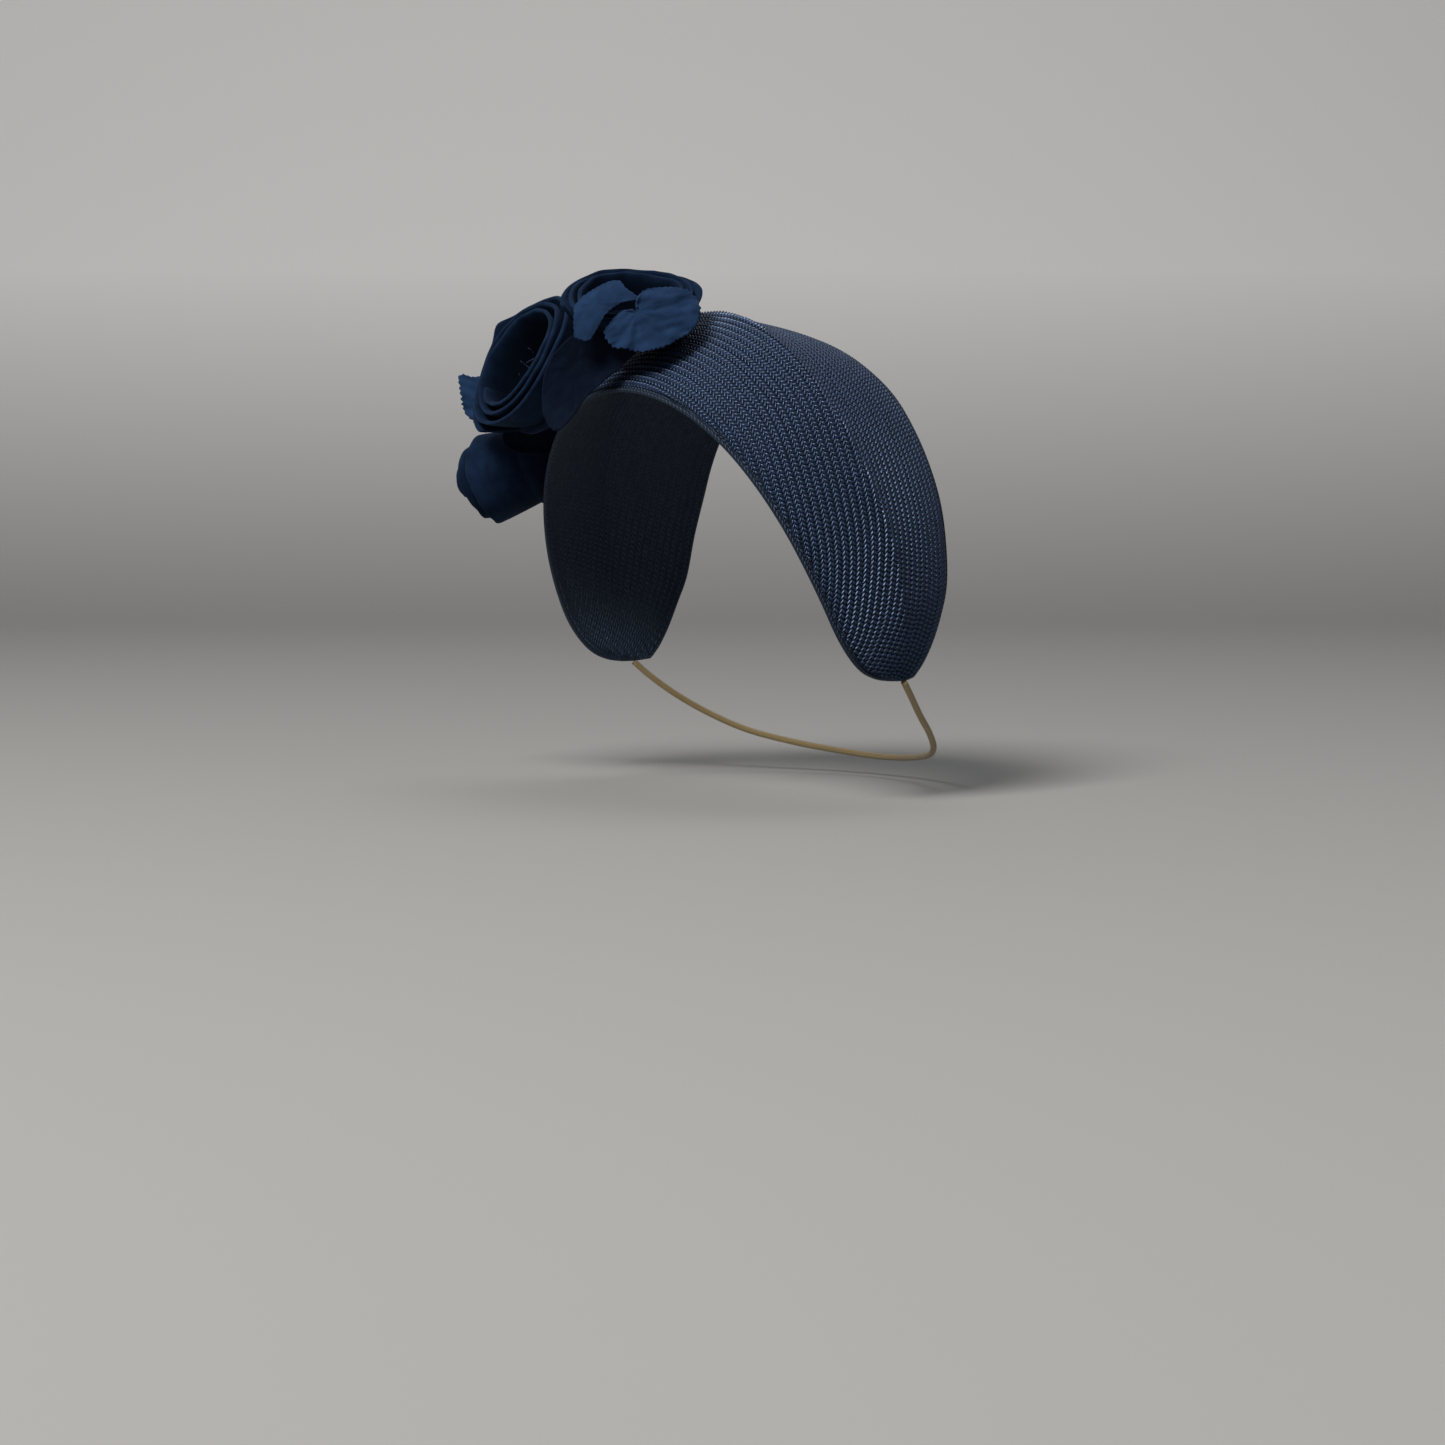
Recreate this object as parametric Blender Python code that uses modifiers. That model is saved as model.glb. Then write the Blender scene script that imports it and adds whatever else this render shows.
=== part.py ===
"""Floral headband: a blocked straw band with a soft ridge, three wound cloth roses, leaves and an elastic.

Metres, +Z up. The wearer faces -Y and the wearer's left is +X. The band is shaped over a head form, and
the origin is the top of that head form, where the headband sits.
"""

from bisect import bisect_left
from itertools import accumulate
from math import cos, pi, radians, sin, sqrt
from typing import NamedTuple

import bmesh
import bpy
from mathutils import Matrix, Vector
from mathutils.bvhtree import BVHTree

OBJECT_NAME = "floral_headband"

# Head form, an ellipsoid whose long axis rises toward the back
HEAD_WIDTH = 0.154
HEAD_LENGTH = 0.2086
HEAD_HEIGHT = 0.1894
HEAD_PITCH = 30.3

# Straw band, measured from the leaning plane through the ears
BAND_LEAN = 20.0
BAND_FRONT = 0.0247
BAND_BACK = 0.066
BAND_WALL = 0.002
BAND_EASE = 0.0008
RIDGE_HEIGHT = 0.009
EDGE_ROLL = 0.0012
EDGE_ROLL_WIDTH = 0.006
EDGE_ROUND = 0.0006
EDGE_ANGLE = 60.0

# Ridge across the band: hollow before its crest, then a short lip over a long slope
RIDGE_HOLLOW = 1.8
RIDGE_LIP = 0.35
RIDGE_LIP_FALL = 8.0
RIDGE_SLOPE_FALL = 1.2

# Cloth
CLOTH_WALL = 0.001
CLEARANCE = 0.0003
ROSE_RADIUS = 0.0265
ROSE_HEIGHT = 0.026
LEAF_LENGTH = 0.036
LEAF_WIDTH = 0.026

# Wound strip of a rose, as shares of the rose's own sizes
STRIP_FLOOR = 0.22
STRIP_FLARE = 0.7
STRIP_WAVE = 0.035
STRIP_WAVE_RISE = 0.04
WAVE_LEAD = 1.0
WAVE_DOUBLE = 0.6
WAVE_TRIPLE = 0.4

# Closed cup under the strip, its width read from the strip at a level
CUP_HEIGHT = 0.34
CUP_LEVEL = 0.30
CUP_FOOT = 0.30
CUP_INSIDE = [(0.0, 0.45), (0.8, 0.55), (1.0, 1.0)]
CUP_OUTSIDE = [(1.0, 1.0), (0.96, 0.70), (0.80, 0.36)]
CUP_SEAM = 0.0015

# Leaf, as shares of its length and width
LEAF_LEAD = 0.05
LEAF_FULLNESS = 0.7
LEAF_TIP = 0.25
LEAF_TIP_WIDTH = 0.45

# Elastic
ELASTIC_DIAMETER = 0.0024
ELASTIC_SPACING = 0.0058

# Facets and searches
ROWS_PER_STATION = 2
TURN_STEPS = 16
STRIP_ROWS = 4
CUP_STEPS = 20
LEAF_STEPS = 9
LEAF_SIDES = 6
ROUTE_STEPS = 20
SEAT_STEP = 0.05
PLACE_HALVINGS = 30
SETTLE_STEPS = 60
SETTLE_HALVINGS = 10
MIRROR_MERGE = 0.00005
TURN_MERGE = 0.00001


class Station(NamedTuple):
    """A section across half the band; turns in degrees from the ear line, lengths as shares of sizes."""

    front_turn: float
    front: float
    back_turn: float
    back: float
    crest: float
    ridge: float


BAND_STATIONS = [
    Station(90.0, 1.00, 90.0, 1.00, 0.57, 1.00),
    Station(78.0, 0.99, 78.0, 0.995, 0.54, 1.00),
    Station(66.0, 0.97, 66.0, 0.98, 0.505, 0.96),
    Station(54.0, 0.965, 54.0, 0.95, 0.475, 0.88),
    Station(42.0, 0.96, 42.0, 0.885, 0.475, 0.76),
    Station(30.0, 0.945, 30.0, 0.82, 0.47, 0.62),
    Station(19.0, 0.92, 19.0, 0.755, 0.475, 0.45),
    Station(9.0, 0.875, 8.0, 0.665, 0.49, 0.27),
    Station(0.0, 0.81, -3.0, 0.56, 0.50, 0.13),
    Station(-7.0, 0.69, -10.0, 0.44, 0.50, 0.05),
    Station(-12.0, 0.53, -15.0, 0.335, 0.50, 0.01),
    Station(-15.3, 0.32, -18.4, 0.24, 0.50, 0.0),
    Station(-17.5, 0.09, -20.4, 0.155, 0.50, 0.0),
]

FRONT_PANEL = [0.0, 0.05, 0.12, 0.22, 0.34, 0.46, 0.58, 0.70, 0.81, 0.91]
BACK_PANEL = [0.0, 0.08, 0.2, 0.34, 0.49, 0.64, 0.79, 0.91, 1.0]


class Rose(NamedTuple):
    """A wound rose: its seat on the band, the way its mouth faces, and its shares of the named sizes."""

    name: str
    turn: float
    across: float
    axis: tuple
    breadth: float
    opening: float
    rise: float
    squash: float
    layers: float
    seam: float
    waist: float
    drop: float
    lift: float

    @property
    def radius(self):
        """Radius of the outermost rim."""
        return self.breadth * ROSE_RADIUS

    @property
    def mouth(self):
        """Radius of the open middle at the rim."""
        return self.opening * self.radius

    @property
    def height(self):
        """Height from foot to rim."""
        return self.rise * ROSE_HEIGHT


ROSES = [
    Rose("rose_top", 98.0, 0.24, (0.33, -0.30, 0.89), 1.0, 0.68, 0.72, 0.95, 2.6, 200.0, 0.62, 0.10, 0.0),
    Rose("rose_middle", 119.5, 0.20, (-0.16, -0.86, 0.46), 1.12, 0.62, 1.0, 1.0, 3.1, 20.0, 0.58, 0.14, 0.0),
    Rose("rose_lower", 138.5, 0.25, (-0.80, -0.50, -0.31), 0.66, 0.60, 1.56, 0.90, 2.4, 90.0, 0.74, 0.22, 0.75),
]


class Leaf(NamedTuple):
    """A leaf or petal: its middle round a rose's axis, its two directions, and its shares of the named sizes."""

    name: str
    host: str
    round: float
    level: float
    out: float
    along: tuple
    facing: tuple
    run: float
    span: float
    bend: float
    cup: float
    root: float

    @property
    def length(self):
        """Length from root to tip."""
        return self.run * LEAF_LENGTH

    @property
    def width(self):
        """Width at the widest place."""
        return self.span * LEAF_WIDTH


LEAVES = [
    Leaf("leaf_top", "rose_top", 150.0, 0.92, 1.02, (0.37, 0.86, 0.28), (0.92, -0.44, 0.23), 1.0, 1.0,
         -0.12, -0.05, 0.45),
    Leaf("petal_top", "rose_top", 99.0, 1.04, 0.84, (0.10, 0.52, 0.85), (0.75, -0.63, 0.30), 0.72, 0.52,
         -0.16, -0.12, 0.80),
    Leaf("leaf_dark", "rose_middle", 164.5, 0.53, 1.38, (0.48, 0.64, 0.60), (0.76, -0.64, 0.10), 0.92, 0.88,
         0.05, 0.10, 0.40),
    Leaf("leaf_left", "rose_middle", 24.0, 0.88, 0.74, (-0.60, -0.67, 0.30), (-0.76, 0.64, -0.08), 0.64, 0.86,
         0.0, 0.10, 0.50),
    Leaf("leaf_lower", "rose_middle", 20.0, 0.02, 1.04, (-0.64, -0.73, 0.20), (0.76, -0.64, 0.08), 0.72, 0.50,
         0.05, 0.10, 0.50),
]

DARK_LEAVES = ["leaf_dark", "leaf_lower"]

# The elastic's own route from the left tip to the nape, in the head form's frame; the right half mirrors it
ELASTIC_ROUTE = [
    (0.0772, 0.0130, -0.0247),
    (0.0745, 0.0190, -0.0304),
    (0.0695, 0.0280, -0.0378),
    (0.0625, 0.0395, -0.0455),
    (0.0525, 0.0510, -0.0520),
    (0.0370, 0.0625, -0.0565),
    (0.0190, 0.0700, -0.0590),
    (0.0000, 0.0725, -0.0600),
]


def head_rows():
    """Rows that carry a vector into the head form's own axes, each scaled by its half length."""
    pitch = radians(HEAD_PITCH)
    side = Vector((1.0, 0.0, 0.0)) / (HEAD_WIDTH / 2)
    length = Vector((0.0, cos(pitch), sin(pitch))) / (HEAD_LENGTH / 2)
    height = Vector((0.0, -sin(pitch), cos(pitch))) / (HEAD_HEIGHT / 2)
    return Matrix((side, length, height))


HEAD = head_rows()
HEAD_TOP = Vector((0.0, 0.0, 1.0 / (HEAD @ Vector((0.0, 0.0, 1.0))).length))
LEAN = radians(BAND_LEAN)
BAND_UP = Vector((0.0, -sin(LEAN), cos(LEAN)))
BAND_FORWARD = Vector((0.0, -cos(LEAN), -sin(LEAN)))


def head_distance(outward, station):
    """Distance from a station on the band's axis to the head form, in the direction outward."""
    start = HEAD @ station
    step = HEAD @ outward
    a = step.dot(step)
    b = start.dot(step)
    c = start.dot(start) - 1.0
    return (-b + sqrt(max(b * b - a * c, 0.0))) / a


def spline(values, place):
    """Value at a fractional place in a list, on a smooth curve through its entries."""
    last = len(values) - 1
    index = min(int(place), last - 1)
    share = place - index
    before = values[max(index - 1, 0)]
    start = values[index]
    end = values[index + 1]
    after = values[min(index + 2, last)]
    slope_in = (end - before) / 2
    slope_out = (after - start) / 2
    rise = end - start
    return start + share * (slope_in + share * (3 * rise - 2 * slope_in - slope_out
                                                + share * (slope_in + slope_out - 2 * rise)))


def station_at(place):
    """The band's section at a fractional place in the table."""
    return Station(*(spline(column, place) for column in zip(*BAND_STATIONS)))


def ridge_share(across, crest):
    """Height of the ridge across the band: hollow in front of the crest, rounder behind it."""
    if across <= crest:
        return (across / crest) ** RIDGE_HOLLOW
    share = (1.0 - across) / (1.0 - crest)
    return RIDGE_LIP * share ** RIDGE_LIP_FALL + (1.0 - RIDGE_LIP) * share ** RIDGE_SLOPE_FALL


def roll_share(distance):
    """Rise of the straw from the rolled edge to the panel."""
    share = min(distance / EDGE_ROLL_WIDTH, 1.0)
    return sin(share * pi / 2)


def band_point(place, across, out=0.0):
    """Point of the band's inner face, or beyond it by out, in the frame of the part."""
    section = station_at(place)
    front = section.front * BAND_FRONT
    back = -section.back * BAND_BACK
    reach = front + (back - front) * across
    turn = radians(section.front_turn + (section.back_turn - section.front_turn) * across)
    outward = Vector((cos(turn), 0.0, 0.0)) + BAND_UP * sin(turn)
    station = BAND_FORWARD * reach
    width = front - back
    edge = min(across, 1.0 - across) * width
    ridge = RIDGE_HEIGHT * section.ridge * ridge_share(across, section.crest)
    lift = BAND_EASE + EDGE_ROLL * roll_share(edge) + ridge
    return station + outward * (head_distance(outward, station) + lift + out) - HEAD_TOP


def place_of_turn(turn):
    """Fractional place in the table whose front edge lies at a turn, for turns from the top down."""
    low, high = 0.0, float(len(BAND_STATIONS) - 1)
    for _ in range(PLACE_HALVINGS):
        middle = (low + high) / 2
        if station_at(middle).front_turn > turn:
            low = middle
        else:
            high = middle
    return (low + high) / 2


def seat(turn, across):
    """Outer face of the band at a seat, its normal, front and down; turns past 90 are on the right."""
    mirrored = turn > 90.0
    place = place_of_turn(180.0 - turn if mirrored else turn)
    above = max(place - SEAT_STEP, 0.0)
    here = band_point(place, across, BAND_WALL)
    down = band_point(place + SEAT_STEP, across, BAND_WALL) - band_point(above, across, BAND_WALL)
    front = band_point(place, across - SEAT_STEP, BAND_WALL)
    front -= band_point(place, across + SEAT_STEP, BAND_WALL)
    down.normalize()
    front.normalize()
    normal = front.cross(down).normalized()
    if normal.dot(here + HEAD_TOP) < 0:
        normal.negate()
    if mirrored:
        flip = Vector((-1.0, 1.0, 1.0))
        here, normal, front, down = (vector * flip for vector in (here, normal, front, down))
    return here, normal, front, down


def material(name, colour, roughness):
    """A Principled material with the part's own colour."""
    made = bpy.data.materials.new(name)
    made.use_nodes = True
    shader = made.node_tree.nodes["Principled BSDF"]
    shader.inputs["Base Color"].default_value = (*colour, 1.0)
    shader.inputs["Roughness"].default_value = roughness
    shader.inputs["Metallic"].default_value = 0.0
    return made


def new_object(name, mesh, collection, look=None):
    """Link a mesh as a named object, smooth where its faces meet gently."""
    made = bpy.data.objects.new(name, mesh)
    collection.objects.link(made)
    if look:
        mesh.materials.append(look)
    mesh.shade_smooth()
    return made


def grid_mesh(name, rows):
    """Mesh of an open sheet from rows of points."""
    mesh = bpy.data.meshes.new(name)
    sheet = bmesh.new()
    lines = [[sheet.verts.new(point) for point in row] for row in rows]
    for upper, lower in zip(lines, lines[1:]):
        for left in range(len(upper) - 1):
            sheet.faces.new((upper[left], lower[left], lower[left + 1], upper[left + 1]))
    sheet.to_mesh(mesh)
    sheet.free()
    return mesh


def thicken(target, wall, offset):
    """Give an open sheet its wall."""
    solid = target.modifiers.new("wall", "SOLIDIFY")
    solid.thickness = wall
    solid.offset = offset
    solid.use_even_offset = True
    return solid


def build_band(collection, look):
    """The straw band: half a sheet over the head form, mirrored, thickened outward, its rims rounded."""
    steps = (len(BAND_STATIONS) - 1) * ROWS_PER_STATION
    rows = []
    for step in range(steps + 1):
        place = step / ROWS_PER_STATION
        crest = station_at(place).crest
        columns = [crest * share for share in FRONT_PANEL]
        columns += [crest + (1.0 - crest) * share for share in BACK_PANEL]
        rows.append([band_point(place, across) for across in columns])
    for point in rows[0]:
        point.x = 0.0
    band = new_object("straw_band", grid_mesh("straw_band", rows), collection, look)
    mirror = band.modifiers.new("right_half", "MIRROR")
    mirror.use_clip = True
    mirror.merge_threshold = MIRROR_MERGE
    thicken(band, BAND_WALL, 1.0)
    rounding = band.modifiers.new("rim", "BEVEL")
    rounding.width = EDGE_ROUND
    rounding.segments = 1
    rounding.limit_method = "ANGLE"
    rounding.angle_limit = radians(EDGE_ANGLE)
    return band


def wave(angle, rose):
    """Gentle waver of a rose's rim round its axis."""
    return WAVE_DOUBLE * sin(2 * angle + rose.seam) + WAVE_TRIPLE * sin(3 * angle + 2 * rose.seam)


def strip_point(rose, share, level):
    """Point of the wound strip at a share of its length and a level from cup to rim."""
    angle = 2 * pi * rose.layers * share + radians(rose.seam)
    rim = rose.mouth + (rose.radius - rose.mouth) * share
    flare = rose.waist + (1.0 - rose.waist) * level ** STRIP_FLARE
    radius = rim * flare * (1.0 + STRIP_WAVE * level * wave(angle, rose))
    floor = STRIP_FLOOR * rose.height
    height = floor + (rose.height * (1.0 - rose.drop * share ** 2) - floor) * level
    height += rose.height * level * STRIP_WAVE_RISE * wave(angle + WAVE_LEAD, rose)
    return Vector((radius * cos(angle), radius * rose.squash * sin(angle), height))


def build_cup(rose, collection):
    """The closed cup that carries the layers: a turned profile from its rim down to its foot."""
    outer = rose.radius * (rose.waist + (1.0 - rose.waist) * CUP_LEVEL) + CLOTH_WALL
    inner = rose.mouth * rose.waist - CUP_SEAM
    top = CUP_HEIGHT * rose.height
    profile = [(inner * radius, top * height) for radius, height in CUP_INSIDE]
    profile += [(outer * radius, top * height) for radius, height in CUP_OUTSIDE]
    profile += [(CUP_FOOT * rose.radius, 0.0), (0.0, 0.0)]
    mesh = bpy.data.meshes.new(rose.name + "_cup")
    line = bmesh.new()
    points = [line.verts.new((radius, 0.0, height)) for radius, height in profile]
    for start, end in zip(points, points[1:]):
        line.edges.new((start, end))
    line.to_mesh(mesh)
    line.free()
    cup = new_object(rose.name + "_cup", mesh, collection)
    turned = cup.modifiers.new("turned", "SCREW")
    turned.steps = CUP_STEPS
    turned.render_steps = CUP_STEPS
    turned.use_merge_vertices = True
    turned.merge_threshold = TURN_MERGE
    turned.use_normal_calculate = True
    cup.scale = (1.0, rose.squash, 1.0)
    cup.hide_render = True
    cup.display_type = "WIRE"
    return cup


def build_rose(rose, collection, cutters, look):
    """A strip wound outward from an open mouth, joined to its cup, upright at the origin."""
    turns = round(rose.layers * TURN_STEPS)
    levels = [level / STRIP_ROWS for level in range(STRIP_ROWS + 1)]
    rows = [[strip_point(rose, step / turns, level) for level in levels] for step in range(turns + 1)]
    made = new_object(rose.name, grid_mesh(rose.name, rows), collection, look)
    thicken(made, CLOTH_WALL, 0.0)
    cup = build_cup(rose, cutters)
    join = made.modifiers.new("cup", "BOOLEAN")
    join.operation = "UNION"
    join.object = cup
    join.solver = "EXACT"
    cup.parent = made
    return made


def leaf_half_width(leaf, share):
    """Half the width of a leaf at a share of its length, from root to rounded tip."""
    swell = sin(pi * (LEAF_LEAD + (1.0 - 2 * LEAF_LEAD) * share)) ** LEAF_FULLNESS
    tip = max(share - 1.0 + LEAF_TIP, 0.0) / LEAF_TIP
    rounding = sqrt(1.0 - (1.0 - LEAF_TIP_WIDTH ** 2) * tip ** 2)
    return leaf.width / 2 * (leaf.root + (1.0 - leaf.root) * swell) * rounding


def leaf_mesh(leaf):
    """A rounded sheet in its own plane, bent along its length and cupped across it."""
    rows = []
    for step in range(LEAF_STEPS + 1):
        share = step / LEAF_STEPS
        half = leaf_half_width(leaf, share)
        bow = leaf.bend * leaf.length * ((2 * share - 1.0) ** 2 - 0.5)
        row = []
        for side in range(LEAF_SIDES + 1):
            across = 2.0 * side / LEAF_SIDES - 1.0
            cup = leaf.cup * leaf.width * across ** 2
            row.append(Vector(((share - 0.5) * leaf.length, across * half, bow + cup)))
        rows.append(row)
    return grid_mesh(leaf.name, rows)


def frame_matrix(origin, along, facing):
    """Placement whose X runs along and whose Z faces as near to facing as it can."""
    x_axis = Vector(along).normalized()
    z_axis = Vector(facing)
    z_axis = (z_axis - x_axis * z_axis.dot(x_axis)).normalized()
    y_axis = z_axis.cross(x_axis)
    placed = Matrix((x_axis, y_axis, z_axis)).transposed().to_4x4()
    placed.translation = origin
    return placed


def world_shape(target):
    """Points and faces of an object as its modifiers leave it, in world space."""
    bpy.context.view_layer.update()
    graph = bpy.context.evaluated_depsgraph_get()
    evaluated = target.evaluated_get(graph)
    mesh = evaluated.to_mesh()
    points = [evaluated.matrix_world @ vertex.co for vertex in mesh.vertices]
    faces = [tuple(face.vertices) for face in mesh.polygons]
    evaluated.to_mesh_clear()
    return points, faces


def nearest_gap(tree, points):
    """Least distance from some points to a tree of faces."""
    return min(tree.find_nearest(point)[3] for point in points)


def rest_against(target, supports, away):
    """Slide an object along away, or back, by half walls, to where the clearance is left to its supports."""
    away = Vector(away).normalized()
    points, faces = world_shape(target)
    bodies = [world_shape(support) for support in supports]
    trees = [BVHTree.FromPolygons(*body) for body in bodies]

    def is_clear(distance):
        moved = [point + away * distance for point in points]
        own = BVHTree.FromPolygons(moved, faces)
        for tree, body in zip(trees, bodies):
            gap = min(nearest_gap(tree, moved), nearest_gap(own, body[0]))
            if gap < CLEARANCE or own.overlap(tree):
                return False
        return True

    start_clear = is_clear(0.0)
    step = -CLOTH_WALL / 2 if start_clear else CLOTH_WALL / 2
    before = 0.0
    after = step
    for _ in range(SETTLE_STEPS):
        if is_clear(after) != start_clear:
            break
        before = after
        after += step
    clear, blocked = (before, after) if start_clear else (after, before)
    for _ in range(SETTLE_HALVINGS):
        middle = (clear + blocked) / 2
        if is_clear(middle):
            clear = middle
        else:
            blocked = middle
    target.location = target.location + away * clear
    bpy.context.view_layer.update()


def place_rose(made, rose, supports):
    """Set a rose on its seat and slide it to rest there, along its axis or lifted off the band."""
    here, normal, front, _ = seat(rose.turn, rose.across)
    axis = Vector(rose.axis).normalized()
    made.matrix_world = frame_matrix(here, front.cross(axis), axis)
    rest_against(made, supports, axis.lerp(normal, rose.lift))


def place_leaf(made, leaf, supports):
    """Set a leaf beside its rose and slide it the way it faces to rest on what carries it."""
    rose = next(rose for rose in ROSES if rose.name == leaf.host)
    host = bpy.data.objects[leaf.host].matrix_world
    angle = radians(leaf.round)
    outward = Vector((cos(angle), sin(angle), 0.0)) * (leaf.out * rose.radius)
    middle = host @ (outward + Vector((0.0, 0.0, leaf.level * rose.height)))
    made.matrix_world = frame_matrix(middle, leaf.along, leaf.facing)
    rest_against(made, supports, leaf.facing)


def smooth_route(route, spacing):
    """Points about one spacing apart on a smooth curve through a route."""
    columns = list(zip(*route))
    places = [step / ROUTE_STEPS for step in range((len(route) - 1) * ROUTE_STEPS + 1)]
    fine = [Vector([spline(column, place) for column in columns]) for place in places]
    travelled = list(accumulate((end - start).length for start, end in zip(fine, fine[1:])))
    pieces = max(round(travelled[-1] / spacing), 1)
    inner = [bisect_left(travelled, travelled[-1] * piece / pieces) + 1 for piece in range(1, pieces)]
    return [fine[0]] + [fine[index] for index in inner] + [fine[-1]]


def build_elastic(collection, look):
    """The round elastic from tip to tip round the nape."""
    left = [Vector(point) for point in ELASTIC_ROUTE]
    right = [Vector((-point.x, point.y, point.z)) for point in reversed(left[:-1])]
    points = smooth_route(left + right, ELASTIC_SPACING)
    curve = bpy.data.curves.new("elastic_cord", "CURVE")
    curve.dimensions = "3D"
    curve.bevel_depth = ELASTIC_DIAMETER / 2
    curve.bevel_resolution = 2
    curve.use_fill_caps = True
    line = curve.splines.new("POLY")
    line.points.add(len(points) - 1)
    for knot, point in zip(line.points, points):
        knot.co = (*(point - HEAD_TOP), 1.0)
    curve.materials.append(look)
    cord = bpy.data.objects.new("elastic_cord", curve)
    collection.objects.link(cord)
    return cord


def clear_scene():
    """Remove what the scene holds."""
    for old in list(bpy.data.objects):
        bpy.data.objects.remove(old, do_unlink=True)


def new_collection(name):
    """A collection linked to the scene."""
    made = bpy.data.collections.new(name)
    bpy.context.scene.collection.children.link(made)
    return made


def main():
    """Build the headband."""
    clear_scene()
    parts = new_collection(OBJECT_NAME)
    cutters = new_collection(OBJECT_NAME + "_cutters")
    straw = material("navy_straw", (0.012, 0.016, 0.038), 0.45)
    petals = material("navy_cloth", (0.006, 0.014, 0.034), 0.85)
    leaves = material("blue_cloth", (0.012, 0.034, 0.080), 0.80)
    elastic = material("gold_elastic", (0.42, 0.30, 0.12), 0.6)

    made = {"straw_band": build_band(parts, straw)}
    for rose in ROSES:
        built = build_rose(rose, parts, cutters, petals)
        place_rose(built, rose, list(made.values()))
        made[rose.name] = built
    for leaf in LEAVES:
        look = petals if leaf.name in DARK_LEAVES else leaves
        built = new_object(leaf.name, leaf_mesh(leaf), parts, look)
        thicken(built, CLOTH_WALL, 0.0)
        place_leaf(built, leaf, list(made.values()))
        made[leaf.name] = built
    build_elastic(parts, elastic)


main()
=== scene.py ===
"""Floral headband: blocked straw braid with a soft ridge, wound cloth roses, cloth leaves and an elastic."""

import logging
from dataclasses import dataclass, field
from math import atan2, cos, degrees, pi, radians, sin, sqrt
from typing import Callable, NamedTuple, Sequence

import bmesh
import bpy
import numpy as np
from mathutils import Matrix, Vector, noise


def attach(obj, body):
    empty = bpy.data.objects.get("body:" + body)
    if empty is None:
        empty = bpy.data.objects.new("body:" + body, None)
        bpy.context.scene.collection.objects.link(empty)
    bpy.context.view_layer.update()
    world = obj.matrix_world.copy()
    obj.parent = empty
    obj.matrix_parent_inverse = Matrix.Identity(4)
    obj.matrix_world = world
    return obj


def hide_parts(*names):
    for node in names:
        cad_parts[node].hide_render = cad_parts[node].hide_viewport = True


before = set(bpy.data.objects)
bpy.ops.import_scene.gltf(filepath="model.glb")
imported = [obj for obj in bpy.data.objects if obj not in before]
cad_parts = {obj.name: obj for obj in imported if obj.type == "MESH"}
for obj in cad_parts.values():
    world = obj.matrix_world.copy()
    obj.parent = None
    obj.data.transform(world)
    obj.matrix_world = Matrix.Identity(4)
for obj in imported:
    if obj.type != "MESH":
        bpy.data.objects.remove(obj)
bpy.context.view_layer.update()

log = logging.getLogger("floral_headband")

Array = np.ndarray


class Station(NamedTuple):
    """One section across half the band: turns in degrees from the ear line, lengths as shares of its sizes."""

    front_turn: float
    front: float
    back_turn: float
    back: float
    crest: float
    ridge: float


BAND_STATIONS = [
    Station(90.0, 1.00, 90.0, 1.00, 0.57, 1.00),
    Station(78.0, 0.99, 78.0, 0.995, 0.54, 1.00),
    Station(66.0, 0.97, 66.0, 0.98, 0.505, 0.96),
    Station(54.0, 0.965, 54.0, 0.95, 0.475, 0.88),
    Station(42.0, 0.96, 42.0, 0.885, 0.475, 0.76),
    Station(30.0, 0.945, 30.0, 0.82, 0.47, 0.62),
    Station(19.0, 0.92, 19.0, 0.755, 0.475, 0.45),
    Station(9.0, 0.875, 8.0, 0.665, 0.49, 0.27),
    Station(0.0, 0.81, -3.0, 0.56, 0.50, 0.13),
    Station(-7.0, 0.69, -10.0, 0.44, 0.50, 0.05),
    Station(-12.0, 0.53, -15.0, 0.335, 0.50, 0.01),
    Station(-15.3, 0.32, -18.4, 0.24, 0.50, 0.0),
    Station(-17.5, 0.09, -20.4, 0.155, 0.50, 0.0),
]


def spline(values: Sequence[float], place: float) -> float:
    """Read a list at a fractional place, on a smooth curve through its entries."""
    last = len(values) - 1
    index = min(int(place), last - 1)
    share = place - index
    before, start, end = values[max(index - 1, 0)], values[index], values[index + 1]
    after = values[min(index + 2, last)]
    slope_in = (end - before) / 2
    slope_out = (after - start) / 2
    rise = end - start
    curve = slope_in + slope_out - 2 * rise
    return start + share * (slope_in + share * (3 * rise - 2 * slope_in - slope_out + share * curve))


@dataclass
class HeadForm:
    """The ellipsoid that the band is blocked over; its long axis rises toward the back."""

    width: float = 0.154
    length: float = 0.2086
    height: float = 0.1894
    pitch: float = 30.3
    rows: Matrix = field(init=False)
    top: Vector = field(init=False)

    def __post_init__(self) -> None:
        """Prepare the form's own axes and its highest point."""
        pitch = radians(self.pitch)
        side = Vector((1.0, 0.0, 0.0)) / (self.width / 2)
        along = Vector((0.0, cos(pitch), sin(pitch))) / (self.length / 2)
        up = Vector((0.0, -sin(pitch), cos(pitch))) / (self.height / 2)
        self.rows = Matrix((side, along, up))
        self.top = Vector((0.0, 0.0, 1.0 / (self.rows @ Vector((0.0, 0.0, 1.0))).length))

    def distance(self, outward: Vector, station: Vector) -> float:
        """Measure how far the form reaches from a station inside it, in a direction of unit length."""
        start = self.rows @ station
        step = self.rows @ outward
        a, b, c = step.dot(step), start.dot(step), start.dot(start) - 1.0
        return (-b + sqrt(max(b * b - a * c, 0.0))) / a


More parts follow.
